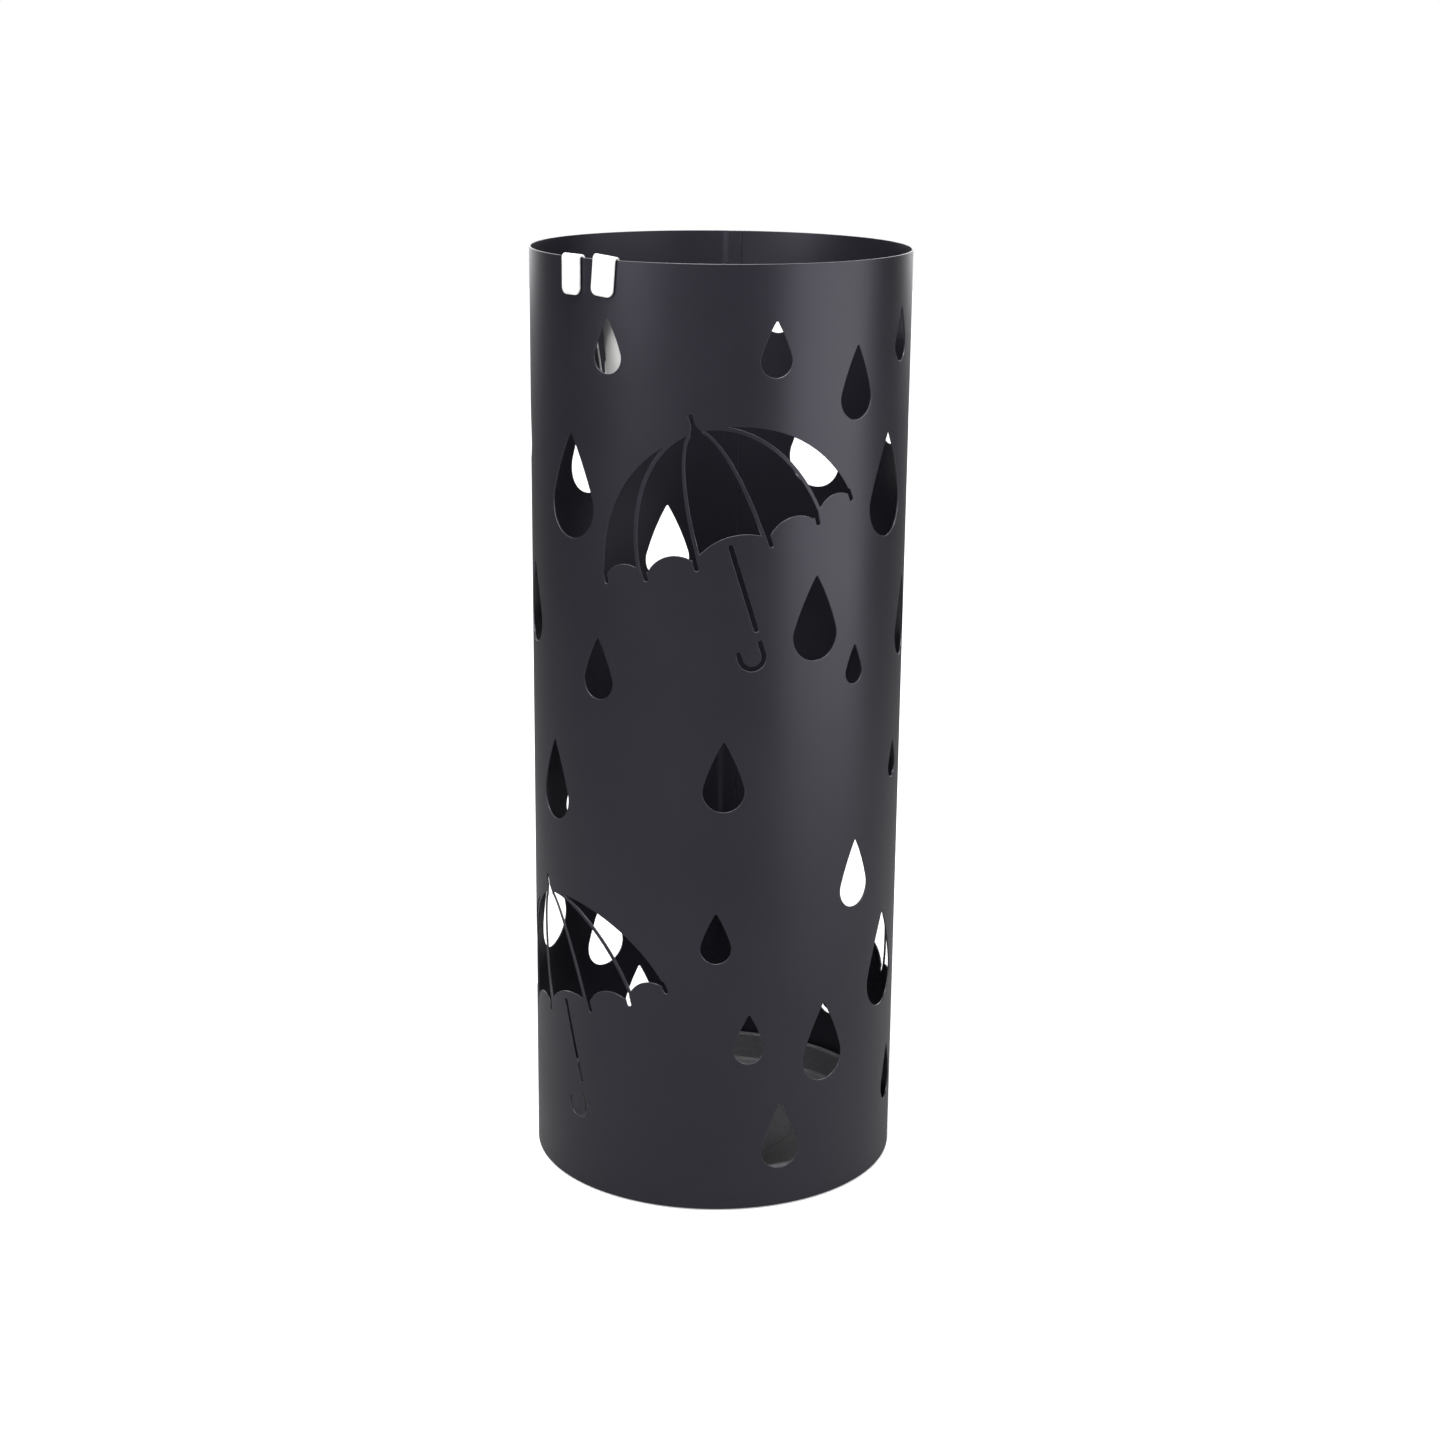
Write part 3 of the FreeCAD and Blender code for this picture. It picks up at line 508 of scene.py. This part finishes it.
# One strip hook: a rounded rectangle carried along the strip's middle line.
# Half width at each place = the taper from the rim to the lip, less the quarter round that
# closes each end: corner - sqrt(corner^2 - (corner - distance to the end)^2).
def makeHook(node, body):
    turn, lean = hookPlaces[node]
    line, run = stripLine()
    corner = strip["corner"]
    quarter = np.linspace(0, math.pi / 2, strip["cornerSteps"])
    ends = corner * (1 - np.cos(quarter)) + strip["endStep"]
    extra = np.concatenate([ends, run[-1] - ends])
    places = np.union1d(run, extra)
    out = np.interp(places, run, line[:, 0])
    up = np.interp(places, run, line[:, 1])
    tangent = np.gradient(np.stack([out, up], -1), places, axis=0)
    tangent /= np.linalg.norm(tangent, axis=1)[:, None]
    normal = np.stack([tangent[:, 1], -tangent[:, 0]], -1)
    taper = np.clip(-up / (strip["leg"] + strip["curl"] + strip["gauge"]), 0, 1)
    taper = np.where(out < 0, taper, 0)
    half = strip["width"] / 2 + (strip["tipWidth"] - strip["width"]) / 2 * taper
    toEnd = np.minimum(places, run[-1] - places)
    short = np.clip(corner - toEnd, 0, corner)
    half = half - (corner - np.sqrt(corner ** 2 - short ** 2))
    r = strip["edgeRound"]
    bend = np.linspace(0, math.pi / 2, strip["edgeSteps"])
    thick = strip["gauge"] / 2
    section = []                # (side, side inset, depth) round the strip
    for side, depth, angles in ((1, 1, bend), (-1, 1, bend[::-1]),
                                (-1, -1, bend), (1, -1, bend[::-1])):
        for angle in angles:
            level = thick - r + r * math.sin(angle)
            section.append((side, r - r * math.cos(angle), depth * level))
    section = np.array(section)
    across = section[:, 0] * (half[:, None] - section[:, 1])
    depth = np.broadcast_to(section[:, 2], across.shape)
    x = out[:, None] + normal[:, :1] * depth
    z = up[:, None] + normal[:, 1:] * depth
    vertices = np.stack([x, across, z], -1)
    rows, columns = across.shape
    faces = gridFaces(rows, columns)[:, ::-1].tolist()
    faces.append(list(range(columns)))
    faces.append(list(range((rows - 1) * columns, rows * columns))[::-1])
    vertices = vertices.reshape(-1, 3)
    a, t = math.radians(lean), math.radians(turn)
    y, z = vertices[:, 1].copy(), vertices[:, 2].copy()
    vertices[:, 1] = y * math.cos(a) + z * math.sin(a)
    vertices[:, 2] = -y * math.sin(a) + z * math.cos(a)
    vertices[:, 0] += tube["radius"] - tube["gauge"] / 2
    vertices[:, 2] += tube["top"] + strip["width"] / 2 * math.sin(a)
    x, y = vertices[:, 0].copy(), vertices[:, 1].copy()
    vertices[:, 0] = x * math.sin(t) + y * math.cos(t)
    vertices[:, 1] = -x * math.cos(t) + y * math.sin(t)
    name = "hook" + node.split("_")[1].title()
    hook = putMesh(name, vertices, faces)
    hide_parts(node)
    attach(hook, body)
    print(name)
    return hook


coat = {                        # powder coat of the tube and the base plate
    "colour": (0.0092, 0.0088, 0.0130),
    "paler": (0.0112, 0.0107, 0.0156),      # slow drift of the colour over the sheet
    "roughness": 0.36,
    "peelSize": 0.0016,         # distance between the coat's soft ripples
    "peelDepth": 0.000006,
    "grainSize": 0.00022,       # distance between the fine grains of the cured powder
    "grainDepth": 0.0000035,
    "edgeColourAndHighlight": (0.040, 0.039, 0.046),    # thinner coat on the cut edges, with a painted highlight along them
    "edgeNoise": (0.30, 0.62),  # grain between which the edge's coat runs thin and the painted highlight shows
    "edgeShare": (0.35, 1.0),   # least and most of the edge's colour and painted highlight
    "edgeSmooth": 0.08,         # how much smoother the cut edges are
    "drift": 0.07,              # size of the drift's patches
    "speckSpacing": 0.008,
    "speckShare": 0.10,         # share of the cells that have a speck
    "speckColour": (0.10, 0.10, 0.105),
    "speckStrength": 0.45,
    "dust": 0.25,
    "dustColour": (0.16, 0.155, 0.15),
    "dustRough": 0.5,           # roughness that full dust adds
    "spread": (0.02, 0.03),     # roughness below and above its middle value
    "tint": (0.88, 0.865, 1.0),             # colour of the sheen
}
plastic = {                     # moulded tray
    "colour": (0.075, 0.075, 0.081),
    "roughness": 0.52,
    "grainSize": 0.00075,       # distance between the pebbles of the mould's texture
    "grainDepth": 0.000035,
    "paler": 1.25,              # the paler drift, as a multiple of the colour
    "drift": 0.03,
    "speckSpacing": 0.006,
    "speckShare": 0.25,
    "speckColour": (0.16, 0.16, 0.16),
    "speckStrength": 0.5,
    "hollow": 0.35,             # how far the hollows take the painted shade
    "hollowShadeColour": (0.012, 0.012, 0.013),
    "scuffs": 0.35,             # how much the umbrella tips have rubbed the floor
    "scuffColour": (0.14, 0.135, 0.13),
    "scuffRough": 0.4,          # roughness that full scuffing adds
}
lacquer = {                     # hooks
    "colour": (0.82, 0.82, 0.825),
    "shaded": (0.78, 0.775, 0.76),          # colour the lacquer drifts to
    "roughness": 0.16,
    "rougher": 0.06,            # roughness that the drift adds
    "coat": 0.25,
    "coatRough": 0.05,
    "peelSize": 0.0022,
    "peelDepth": 0.000006,
    "grainSize": 0.0004,
    "grainDepth": 0.0000006,
    "drift": 0.02,
    "speckSpacing": 0.004,
    "speckShare": 0.12,
    "speckColour": (0.45, 0.44, 0.42),
    "speckStrength": 0.35,
}
rubber = {                      # feet
    "colour": (0.020, 0.020, 0.020),
    "dusty": (0.085, 0.080, 0.074),
    "roughness": 0.82,
    "rougher": 0.1,             # roughness that the hollows add
    "grainSize": 0.0006,
    "grainDepth": 0.00003,
    "dustHeight": 0.0025,       # height up to which dust from the floor reaches
    "dustScale": 260.0,         # patches of dust in a metre
}


wear = {                        # limits of the noise and cell masks in the effects
    "drift": (0.32, 0.68),      # noise between which one colour becomes the other
    "speck": (0.030, 0.022),    # distances from a cell's point, in cells, where a speck ends
    "pebbleSoft": 0.35,         # how far neighbouring pebbles melt together
    "pebbleNoise": 0.4,         # share of the noise between the pebbles
    "hollow": (0.35, 0.8),      # distances where the hollow between pebbles begins and ends
    "dustTilt": (0.55, 0.98),   # upward parts of the normal between which dust settles
    "dustScale": 210.0,         # patches of dust in a metre
    "dustNoise": (0.40, 0.66),
}


# An empty effect: a node group with named inputs (name, type, default) and outputs.
def newEffect(name, inputs, outputs):
    group = bpy.data.node_groups.new(name, "ShaderNodeTree")
    for title, kind, default in inputs:
        socket = group.interface.new_socket(title, in_out="INPUT", socket_type=kind)
        if default is not None:
            socket.default_value = default
    for title, kind in outputs:
        group.interface.new_socket(title, in_out="OUTPUT", socket_type=kind)
    return group, group.nodes.new("NodeGroupInput"), group.nodes.new("NodeGroupOutput")


# A node of the tree with its properties set; inputs are constants or other nodes' sockets.
def addNode(tree, kind, inputs=None, **properties):
    node = tree.nodes.new(kind)
    for key, value in properties.items():
        setattr(node, key, value)
    for key, value in (inputs or {}).items():
        if isinstance(value, bpy.types.NodeSocket):
            tree.links.new(value, node.inputs[key])
        else:
            node.inputs[key].default_value = value
    return node


# The result of one sum, difference, product, quotient or comparison of two values.
def math2(tree, operation, first, second, clamp=False):
    return addNode(tree, "ShaderNodeMath", {0: first, 1: second},
                   operation=operation, use_clamp=clamp).outputs[0]


# low to high as the value goes from the first of the limits to the second.
def ramp(tree, value, limits, low=0.0, high=1.0):
    return addNode(tree, "ShaderNodeMapRange", {
        "Value": value, "From Min": limits[0], "From Max": limits[1],
        "To Min": low, "To Max": high}).outputs[0]


# Soft ripples and fine grain of a sprayed coat, as one height in metres.
# height = ripple noise * ripple depth + grain noise * grain depth
def coatRelief():
    group, given, result = newEffect("coatRelief", [
        ("Place", "NodeSocketVector", None),
        ("Ripple Size", "NodeSocketFloat", 0.0016), ("Ripple Depth", "NodeSocketFloat", 0.000006),
        ("Grain Size", "NodeSocketFloat", 0.0002), ("Grain Depth", "NodeSocketFloat", 0.000003),
    ], [("Height", "NodeSocketFloat"), ("Grain", "NodeSocketFloat")])
    rippleScale = math2(group, "DIVIDE", 1.0, given.outputs["Ripple Size"])
    grainScale = math2(group, "DIVIDE", 1.0, given.outputs["Grain Size"])
    ripple = addNode(group, "ShaderNodeTexNoise", {
        "Vector": given.outputs["Place"], "Scale": rippleScale, "Detail": 1.0, "Roughness": 0.4})
    grain = addNode(group, "ShaderNodeTexNoise", {
        "Vector": given.outputs["Place"], "Scale": grainScale, "Detail": 2.0, "Roughness": 0.6})
    slow = math2(group, "MULTIPLY", ripple.outputs[0], given.outputs["Ripple Depth"])
    quick = math2(group, "MULTIPLY", grain.outputs[0], given.outputs["Grain Depth"])
    group.links.new(math2(group, "ADD", slow, quick), result.inputs["Height"])
    group.links.new(grain.outputs[0], result.inputs["Grain"])
    return group


# Slow drift between two colours, with small pale specks of dust strewn over it.
# drift = noise stretched from its middle; speck = 1 within the speck's radius of a cell's point,
# for the share of cells whose own random number is below Share
def driftAndSpecks():
    group, given, result = newEffect("driftAndSpecks", [
        ("Place", "NodeSocketVector", None),
        ("First", "NodeSocketColor", (0.02, 0.02, 0.02, 1)),
        ("Second", "NodeSocketColor", (0.03, 0.03, 0.03, 1)),
        ("Drift Size", "NodeSocketFloat", 0.06), ("Speck Spacing", "NodeSocketFloat", 0.009),
        ("Speck Share", "NodeSocketFloat", 0.2),
        ("Speck Colour", "NodeSocketColor", (0.2, 0.2, 0.2, 1)),
        ("Speck Strength", "NodeSocketFloat", 0.5),
    ], [("Colour", "NodeSocketColor"), ("Drift", "NodeSocketFloat"), ("Speck", "NodeSocketFloat")])
    place = given.outputs["Place"]
    noise = addNode(group, "ShaderNodeTexNoise", {
        "Vector": place, "Scale": math2(group, "DIVIDE", 1.0, given.outputs["Drift Size"]),
        "Detail": 4.0, "Roughness": 0.55})
    drift = ramp(group, noise.outputs[0], wear["drift"])
    mixed = addNode(group, "ShaderNodeMix", {
        0: drift, 6: given.outputs["First"], 7: given.outputs["Second"]}, data_type="RGBA")
    cells = addNode(group, "ShaderNodeTexVoronoi", {
        "Vector": place, "Scale": math2(group, "DIVIDE", 1.0, given.outputs["Speck Spacing"])})
    near = ramp(group, cells.outputs["Distance"], wear["speck"])
    luck = addNode(group, "ShaderNodeSeparateColor", {"Color": cells.outputs["Color"]}).outputs[0]
    some = math2(group, "LESS_THAN", luck, given.outputs["Speck Share"])
    speck = math2(group, "MULTIPLY", math2(group, "MULTIPLY", near, some),
                  given.outputs["Speck Strength"])
    final = addNode(group, "ShaderNodeMix", {
        0: speck, 6: mixed.outputs[2], 7: given.outputs["Speck Colour"]}, data_type="RGBA")
    group.links.new(final.outputs[2], result.inputs["Colour"])
    group.links.new(drift, result.inputs["Drift"])
    group.links.new(speck, result.inputs["Speck"])
    return group


# Pebbled texture that a mould leaves: rounded cells with a little noise between them.
# height = (1 - distance to the cell's point + noise * pebbleNoise) * depth, cells smoothed
def pebbles():
    group, given, result = newEffect("pebbles", [
        ("Place", "NodeSocketVector", None),
        ("Size", "NodeSocketFloat", 0.0007), ("Depth", "NodeSocketFloat", 0.00003),
    ], [("Height", "NodeSocketFloat"), ("Hollow", "NodeSocketFloat")])
    place = given.outputs["Place"]
    scale = math2(group, "DIVIDE", 1.0, given.outputs["Size"])
    wobble = addNode(group, "ShaderNodeTexNoise", {"Vector": place, "Scale": scale, "Detail": 2.0})
    cells = addNode(group, "ShaderNodeTexVoronoi", {
        "Vector": place, "Scale": scale, "Smoothness": wear["pebbleSoft"]}, feature="SMOOTH_F1")
    raised = math2(group, "SUBTRACT", 1.0, cells.outputs["Distance"])
    rough = math2(group, "MULTIPLY", wobble.outputs[0], wear["pebbleNoise"])
    height = math2(group, "MULTIPLY", math2(group, "ADD", raised, rough), given.outputs["Depth"])
    hollow = ramp(group, cells.outputs["Distance"], wear["hollow"])
    group.links.new(height, result.inputs["Height"])
    group.links.new(hollow, result.inputs["Hollow"])
    return group


# Dust that has settled on what looks up: the normal's upward part, broken up by noise.
# mask = ramp of the upward part * ramp of the noise * amount
def settledDust():
    group, given, result = newEffect("settledDust", [
        ("Place", "NodeSocketVector", None), ("Amount", "NodeSocketFloat", 0.3),
    ], [("Mask", "NodeSocketFloat")])
    looks = addNode(group, "ShaderNodeNewGeometry")
    upward = addNode(group, "ShaderNodeSeparateXYZ", {0: looks.outputs["Normal"]}).outputs[2]
    facing = ramp(group, upward, wear["dustTilt"])
    noise = addNode(group, "ShaderNodeTexNoise", {
        "Vector": given.outputs["Place"], "Scale": wear["dustScale"],
        "Detail": 6.0, "Roughness": 0.65})
    patchy = ramp(group, noise.outputs[0], wear["dustNoise"])
    mask = math2(group, "MULTIPLY", math2(group, "MULTIPLY", facing, patchy),
                 given.outputs["Amount"])
    group.links.new(mask, result.inputs["Mask"])
    return group


# One of the effects above, used in a material.
def effect(tree, group, inputs):
    return addNode(tree, "ShaderNodeGroup", inputs, node_tree=group)


# A material with its own Principled shader and the object's own coordinates.
def newMaterial(name):
    material = bpy.data.materials.new(name)
    material.use_nodes = True
    tree = material.node_tree
    shader = next(node for node in tree.nodes if node.type == "BSDF_PRINCIPLED")
    place = addNode(tree, "ShaderNodeTexCoord").outputs["Object"]
    return material, tree, shader, place


# The height, in metres, as a bump of the shader's normal.
def bump(tree, shader, height):
    node = addNode(tree, "ShaderNodeBump", {"Strength": 1.0, "Distance": 1.0, "Height": height})
    tree.links.new(node.outputs[0], shader.inputs["Normal"])


# A colour with full opacity.
def rgba(colour):
    return (*colour, 1.0)


# Charcoal powder coat; the coat runs thin on the cut edges, and their lighter colour is also a
# painted highlight.
def powderCoat(effects):
    material, tree, shader, place = newMaterial("powderCoat")
    relief = effect(tree, effects["relief"], {
        "Place": place, "Ripple Size": coat["peelSize"], "Ripple Depth": coat["peelDepth"],
        "Grain Size": coat["grainSize"], "Grain Depth": coat["grainDepth"]})
    tone = effect(tree, effects["drift"], {
        "Place": place, "First": rgba(coat["colour"]), "Second": rgba(coat["paler"]),
        "Drift Size": coat["drift"], "Speck Spacing": coat["speckSpacing"],
        "Speck Share": coat["speckShare"], "Speck Colour": rgba(coat["speckColour"]),
        "Speck Strength": coat["speckStrength"]})
    dust = effect(tree, effects["dust"], {"Place": place, "Amount": coat["dust"]})
    edge = addNode(tree, "ShaderNodeAttribute", attribute_name="cutEdge").outputs["Fac"]
    # painted highlight: the cut edges are lightened, partly for the thinner coat and partly for
    # the light that they catch
    thinCoatAndHighlight = ramp(tree, relief.outputs["Grain"], coat["edgeNoise"], *coat["edgeShare"])
    edgeCoatAndHighlight = math2(tree, "MULTIPLY", edge, thinCoatAndHighlight)
    edged = addNode(tree, "ShaderNodeMix", {
        0: edgeCoatAndHighlight, 6: tone.outputs["Colour"], 7: rgba(coat["edgeColourAndHighlight"])}, data_type="RGBA")
    dusted = addNode(tree, "ShaderNodeMix", {
        0: dust.outputs["Mask"], 6: edged.outputs[2], 7: rgba(coat["dustColour"])},
        data_type="RGBA")
    tree.links.new(dusted.outputs[2], shader.inputs["Base Color"])
    below, above = coat["spread"]
    rough = ramp(tree, tone.outputs["Drift"], (0.0, 1.0),
                 coat["roughness"] - below, coat["roughness"] + above)
    smoother = math2(tree, "SUBTRACT", rough, math2(tree, "MULTIPLY", edge, coat["edgeSmooth"]))
    dulled = math2(tree, "MULTIPLY", dust.outputs["Mask"], coat["dustRough"])
    tree.links.new(math2(tree, "ADD", smoother, dulled, clamp=True), shader.inputs["Roughness"])
    shader.inputs["Specular Tint"].default_value = rgba(coat["tint"])
    bump(tree, shader, relief.outputs["Height"])
    return material


# Moulded dark plastic with pale specks, scuffed where it looks up, with painted shade in the
# hollows of its pebbles.
def trayPlastic(effects):
    material, tree, shader, place = newMaterial("trayPlastic")
    grain = effect(tree, effects["pebbles"], {
        "Place": place, "Size": plastic["grainSize"], "Depth": plastic["grainDepth"]})
    tone = effect(tree, effects["drift"], {
        "Place": place, "First": rgba(plastic["colour"]),
        "Second": rgba([c * plastic["paler"] for c in plastic["colour"]]),
        "Drift Size": plastic["drift"], "Speck Spacing": plastic["speckSpacing"],
        "Speck Share": plastic["speckShare"], "Speck Colour": rgba(plastic["speckColour"]),
        "Speck Strength": plastic["speckStrength"]})
    dust = effect(tree, effects["dust"], {"Place": place, "Amount": plastic["scuffs"]})
    # painted shade: the hollows between the pebbles are darkened towards the hollow colour
    darker = addNode(tree, "ShaderNodeMix", {
        0: math2(tree, "MULTIPLY", grain.outputs["Hollow"], plastic["hollow"]),
        6: tone.outputs["Colour"], 7: rgba(plastic["hollowShadeColour"])}, data_type="RGBA")
    scuffed = addNode(tree, "ShaderNodeMix", {
        0: dust.outputs["Mask"], 6: darker.outputs[2], 7: rgba(plastic["scuffColour"])},
        data_type="RGBA")
    tree.links.new(scuffed.outputs[2], shader.inputs["Base Color"])
    dulled = math2(tree, "MULTIPLY", dust.outputs["Mask"], plastic["scuffRough"])
    rough = math2(tree, "ADD", plastic["roughness"], dulled, clamp=True)
    tree.links.new(rough, shader.inputs["Roughness"])
    bump(tree, shader, grain.outputs["Height"])
    return material


# Glossy white lacquer with the faint ripple of a sprayed coat.
def whiteLacquer(effects):
    material, tree, shader, place = newMaterial("whiteLacquer")
    relief = effect(tree, effects["relief"], {
        "Place": place, "Ripple Size": lacquer["peelSize"], "Ripple Depth": lacquer["peelDepth"],
        "Grain Size": lacquer["grainSize"], "Grain Depth": lacquer["grainDepth"]})
    tone = effect(tree, effects["drift"], {
        "Place": place, "First": rgba(lacquer["colour"]), "Second": rgba(lacquer["shaded"]),
        "Drift Size": lacquer["drift"], "Speck Spacing": lacquer["speckSpacing"],
        "Speck Share": lacquer["speckShare"], "Speck Colour": rgba(lacquer["speckColour"]),
        "Speck Strength": lacquer["speckStrength"]})
    tree.links.new(tone.outputs["Colour"], shader.inputs["Base Color"])
    rough = ramp(tree, tone.outputs["Drift"], (0.0, 1.0),
                 lacquer["roughness"], lacquer["roughness"] + lacquer["rougher"])
    tree.links.new(rough, shader.inputs["Roughness"])
    shader.inputs["Coat Weight"].default_value = lacquer["coat"]
    shader.inputs["Coat Roughness"].default_value = lacquer["coatRough"]
    bump(tree, shader, relief.outputs["Height"])
    return material


# Matt black rubber, dusty where it touches the floor.
# low = 1 at the floor, 0 from dustHeight up
def footRubber(effects):
    material, tree, shader, place = newMaterial("footRubber")
    grain = effect(tree, effects["pebbles"], {
        "Place": place, "Size": rubber["grainSize"], "Depth": rubber["grainDepth"]})
    up = addNode(tree, "ShaderNodeSeparateXYZ", {0: place}).outputs[2]
    low = ramp(tree, up, (rubber["dustHeight"], 0.0))
    patchy = addNode(tree, "ShaderNodeTexNoise", {
        "Vector": place, "Scale": rubber["dustScale"], "Detail": 5.0}).outputs[0]
    mask = math2(tree, "MULTIPLY", low, patchy)
    colour = addNode(tree, "ShaderNodeMix", {
        0: mask, 6: rgba(rubber["colour"]), 7: rgba(rubber["dusty"])}, data_type="RGBA")
    tree.links.new(colour.outputs[2], shader.inputs["Base Color"])
    dulled = math2(tree, "MULTIPLY", grain.outputs["Hollow"], rubber["rougher"])
    rough = math2(tree, "ADD", rubber["roughness"], dulled, clamp=True)
    tree.links.new(rough, shader.inputs["Roughness"])
    bump(tree, shader, grain.outputs["Height"])
    return material


# Gives the piece this material and no other.
def dress(piece, material):
    piece.data.materials.clear()
    piece.data.materials.append(material)


studio = {
    "floorColour": (0.80, 0.80, 0.80),
    "floorSize": 9.0,
    "floorDrift": 0.985,            # the floor's darker patches, as a share of its colour
    "floorBounce": 0.31,            # how pale the floor is to everything but the camera
    "nearLift": 0.42,               # light the floor adds for the camera by the stand
    "farLift": 1.0,                 # and far from it
    "liftFrom": 0.12,               # distances from the stand's axis between which it grows
    "liftTo": 0.95,
    "around": 0.07,                 # brightness of the room, as it lights the stand
    "backdrop": 2.9,                # brightness of the backdrop behind it, likewise
    "backdropFrom": 0.62,           # how far back a direction points where the backdrop begins
    "backdropTo": 0.92,
    "aim": (0.0, 0.0, 0.25),        # what every soft box looks at
    # soft boxes: place, size across and up, watts
    "boxes": {
        "key": ((-0.55, -1.65, 1.55), (0.8, 0.8), 27.0),
        "right": ((0.85, -0.38, 0.42), (0.99, 0.84), 6.6),
        "left": ((-0.72, -0.56, 0.72), (0.46, 0.56), 4.4),
        "top": ((0.0, -0.35, 1.45), (0.7, 0.7), 20.0),
    },
}
view = {                            # camera
    "place": (0.0, -1.2836, 0.6017),
    "tilt": 15.747,                 # degrees below level
    "yaw": 0.075,                   # degrees towards +X
    "roll": 0.555,                  # degrees, the camera's right side lifted
    "lens": 62.28,                  # millimetres, on a sensor of the width below
    "sensor": 36.0,
    "nearest": 0.05,                # nothing nearer than this is drawn
}


# A large flat floor at height 0, where the feet stand.
# brightness added for the camera = nearLift by the stand, growing to farLift with distance
def makeFloor():
    half = studio["floorSize"] / 2
    corners = np.array([(-half, -half), (half, -half), (half, half), (-half, half)])
    floor = putMesh("floor", np.column_stack([corners, np.zeros(4)]), [(0, 1, 2, 3)], False)
    material, tree, shader, place = newMaterial("paleFloor")
    noise = addNode(tree, "ShaderNodeTexNoise", {"Vector": place, "Scale": 2.0, "Detail": 3.0})
    colour = addNode(tree, "ShaderNodeMix", {
        0: noise.outputs[0], 6: rgba(studio["floorColour"]),
        7: rgba([c * studio["floorDrift"] for c in studio["floorColour"]])}, data_type="RGBA")
    seen = addNode(tree, "ShaderNodeLightPath").outputs["Is Camera Ray"]
    bounce = rgba([studio["floorBounce"]] * 3)
    shown = addNode(tree, "ShaderNodeMix", {0: seen, 6: bounce, 7: colour.outputs[2]},
                    data_type="RGBA")
    tree.links.new(shown.outputs[2], shader.inputs["Base Color"])
    shader.inputs["Roughness"].default_value = 0.9
    shader.inputs["Specular IOR Level"].default_value = 0.1
    distance = addNode(tree, "ShaderNodeVectorMath", {0: place}, operation="LENGTH").outputs[1]
    grown = ramp(tree, distance, (studio["liftFrom"], studio["liftTo"]),
                 studio["nearLift"], studio["farLift"])
    lift = math2(tree, "MULTIPLY", seen, grown)
    tree.links.new(lift, shader.inputs["Emission Strength"])
    shader.inputs["Emission Color"].default_value = (1, 1, 1, 1)
    dress(floor, material)
    print("floor")


# The soft boxes, and a world: white to the camera, to all else dim but for a bright backdrop.
def makeLights():
    for name, (place, size, watts) in studio["boxes"].items():
        data = bpy.data.lights.new(name, "AREA")
        data.shape = "RECTANGLE"
        data.size, data.size_y = size
        data.energy = watts
        light = bpy.data.objects.new(name, data)
        light.location = place
        away = Vector(place) - Vector(studio["aim"])
        light.rotation_euler = away.to_track_quat("Z", "Y").to_euler()
        light.visible_camera = False
        bpy.context.scene.collection.objects.link(light)
    world = bpy.data.worlds.new("studio")
    world.use_nodes = True
    tree = world.node_tree
    tree.nodes.clear()
    seen = addNode(tree, "ShaderNodeLightPath").outputs["Is Camera Ray"]
    towards = addNode(tree, "ShaderNodeTexCoord").outputs["Generated"]
    back = addNode(tree, "ShaderNodeSeparateXYZ", {0: towards}).outputs[1]
    around = addNode(tree, "ShaderNodeMapRange", {
        "Value": back, "From Min": studio["backdropFrom"], "From Max": studio["backdropTo"],
        "To Min": studio["around"], "To Max": studio["backdrop"]},
        interpolation_type="SMOOTHSTEP").outputs[0]
    level = ramp(tree, seen, (0.0, 1.0), around, 1.0)
    sky = addNode(tree, "ShaderNodeBackground", {"Color": (1, 1, 1, 1), "Strength": level})
    result = addNode(tree, "ShaderNodeOutputWorld")
    tree.links.new(sky.outputs[0], result.inputs[0])
    bpy.context.scene.world = world
    print("lights:", len(studio["boxes"]))


# Columns of the camera's matrix are its right, its up and the way behind it;
# right and up are first level, then turned together by the roll.
def makeCamera():
    tilt, yaw, roll = (math.radians(view[key]) for key in ("tilt", "yaw", "roll"))
    ahead = Vector((math.sin(yaw) * math.cos(tilt), math.cos(yaw) * math.cos(tilt),
                    -math.sin(tilt)))
    level = Vector((math.cos(yaw), -math.sin(yaw), 0))
    upright = level.cross(ahead)
    right = level * math.cos(roll) + upright * math.sin(roll)
    up = upright * math.cos(roll) - level * math.sin(roll)
    data = bpy.data.cameras.new("camera")
    data.lens = view["lens"]
    data.sensor_width = view["sensor"]
    data.clip_start = view["nearest"]
    camera = bpy.data.objects.new("camera", data)
    turn = Matrix((right, up, -ahead)).transposed().to_4x4()
    camera.matrix_world = Matrix.Translation(view["place"]) @ turn
    bpy.context.scene.collection.objects.link(camera)
    bpy.context.scene.camera = camera
    print("camera")


wall = makeWall()
basePlate = makeBasePlate()
dripTray = makeDripTray()
feet = makeFeet()
hooks = [makeHook("hook_left", "left_hook"), makeHook("hook_right", "right_hook")]
effects = {"relief": coatRelief(), "drift": driftAndSpecks(),
           "pebbles": pebbles(), "dust": settledDust()}
coated, moulded = powderCoat(effects), trayPlastic(effects)
lacquered, rubbery = whiteLacquer(effects), footRubber(effects)
dress(wall, coated)
dress(basePlate, coated)
dress(dripTray, moulded)
for hook in hooks:
    dress(hook, lacquered)
for foot in feet:
    dress(foot, rubbery)
print("materials")
makeFloor()
makeLights()
makeCamera()
bpy.context.scene.view_settings.view_transform = "Standard"
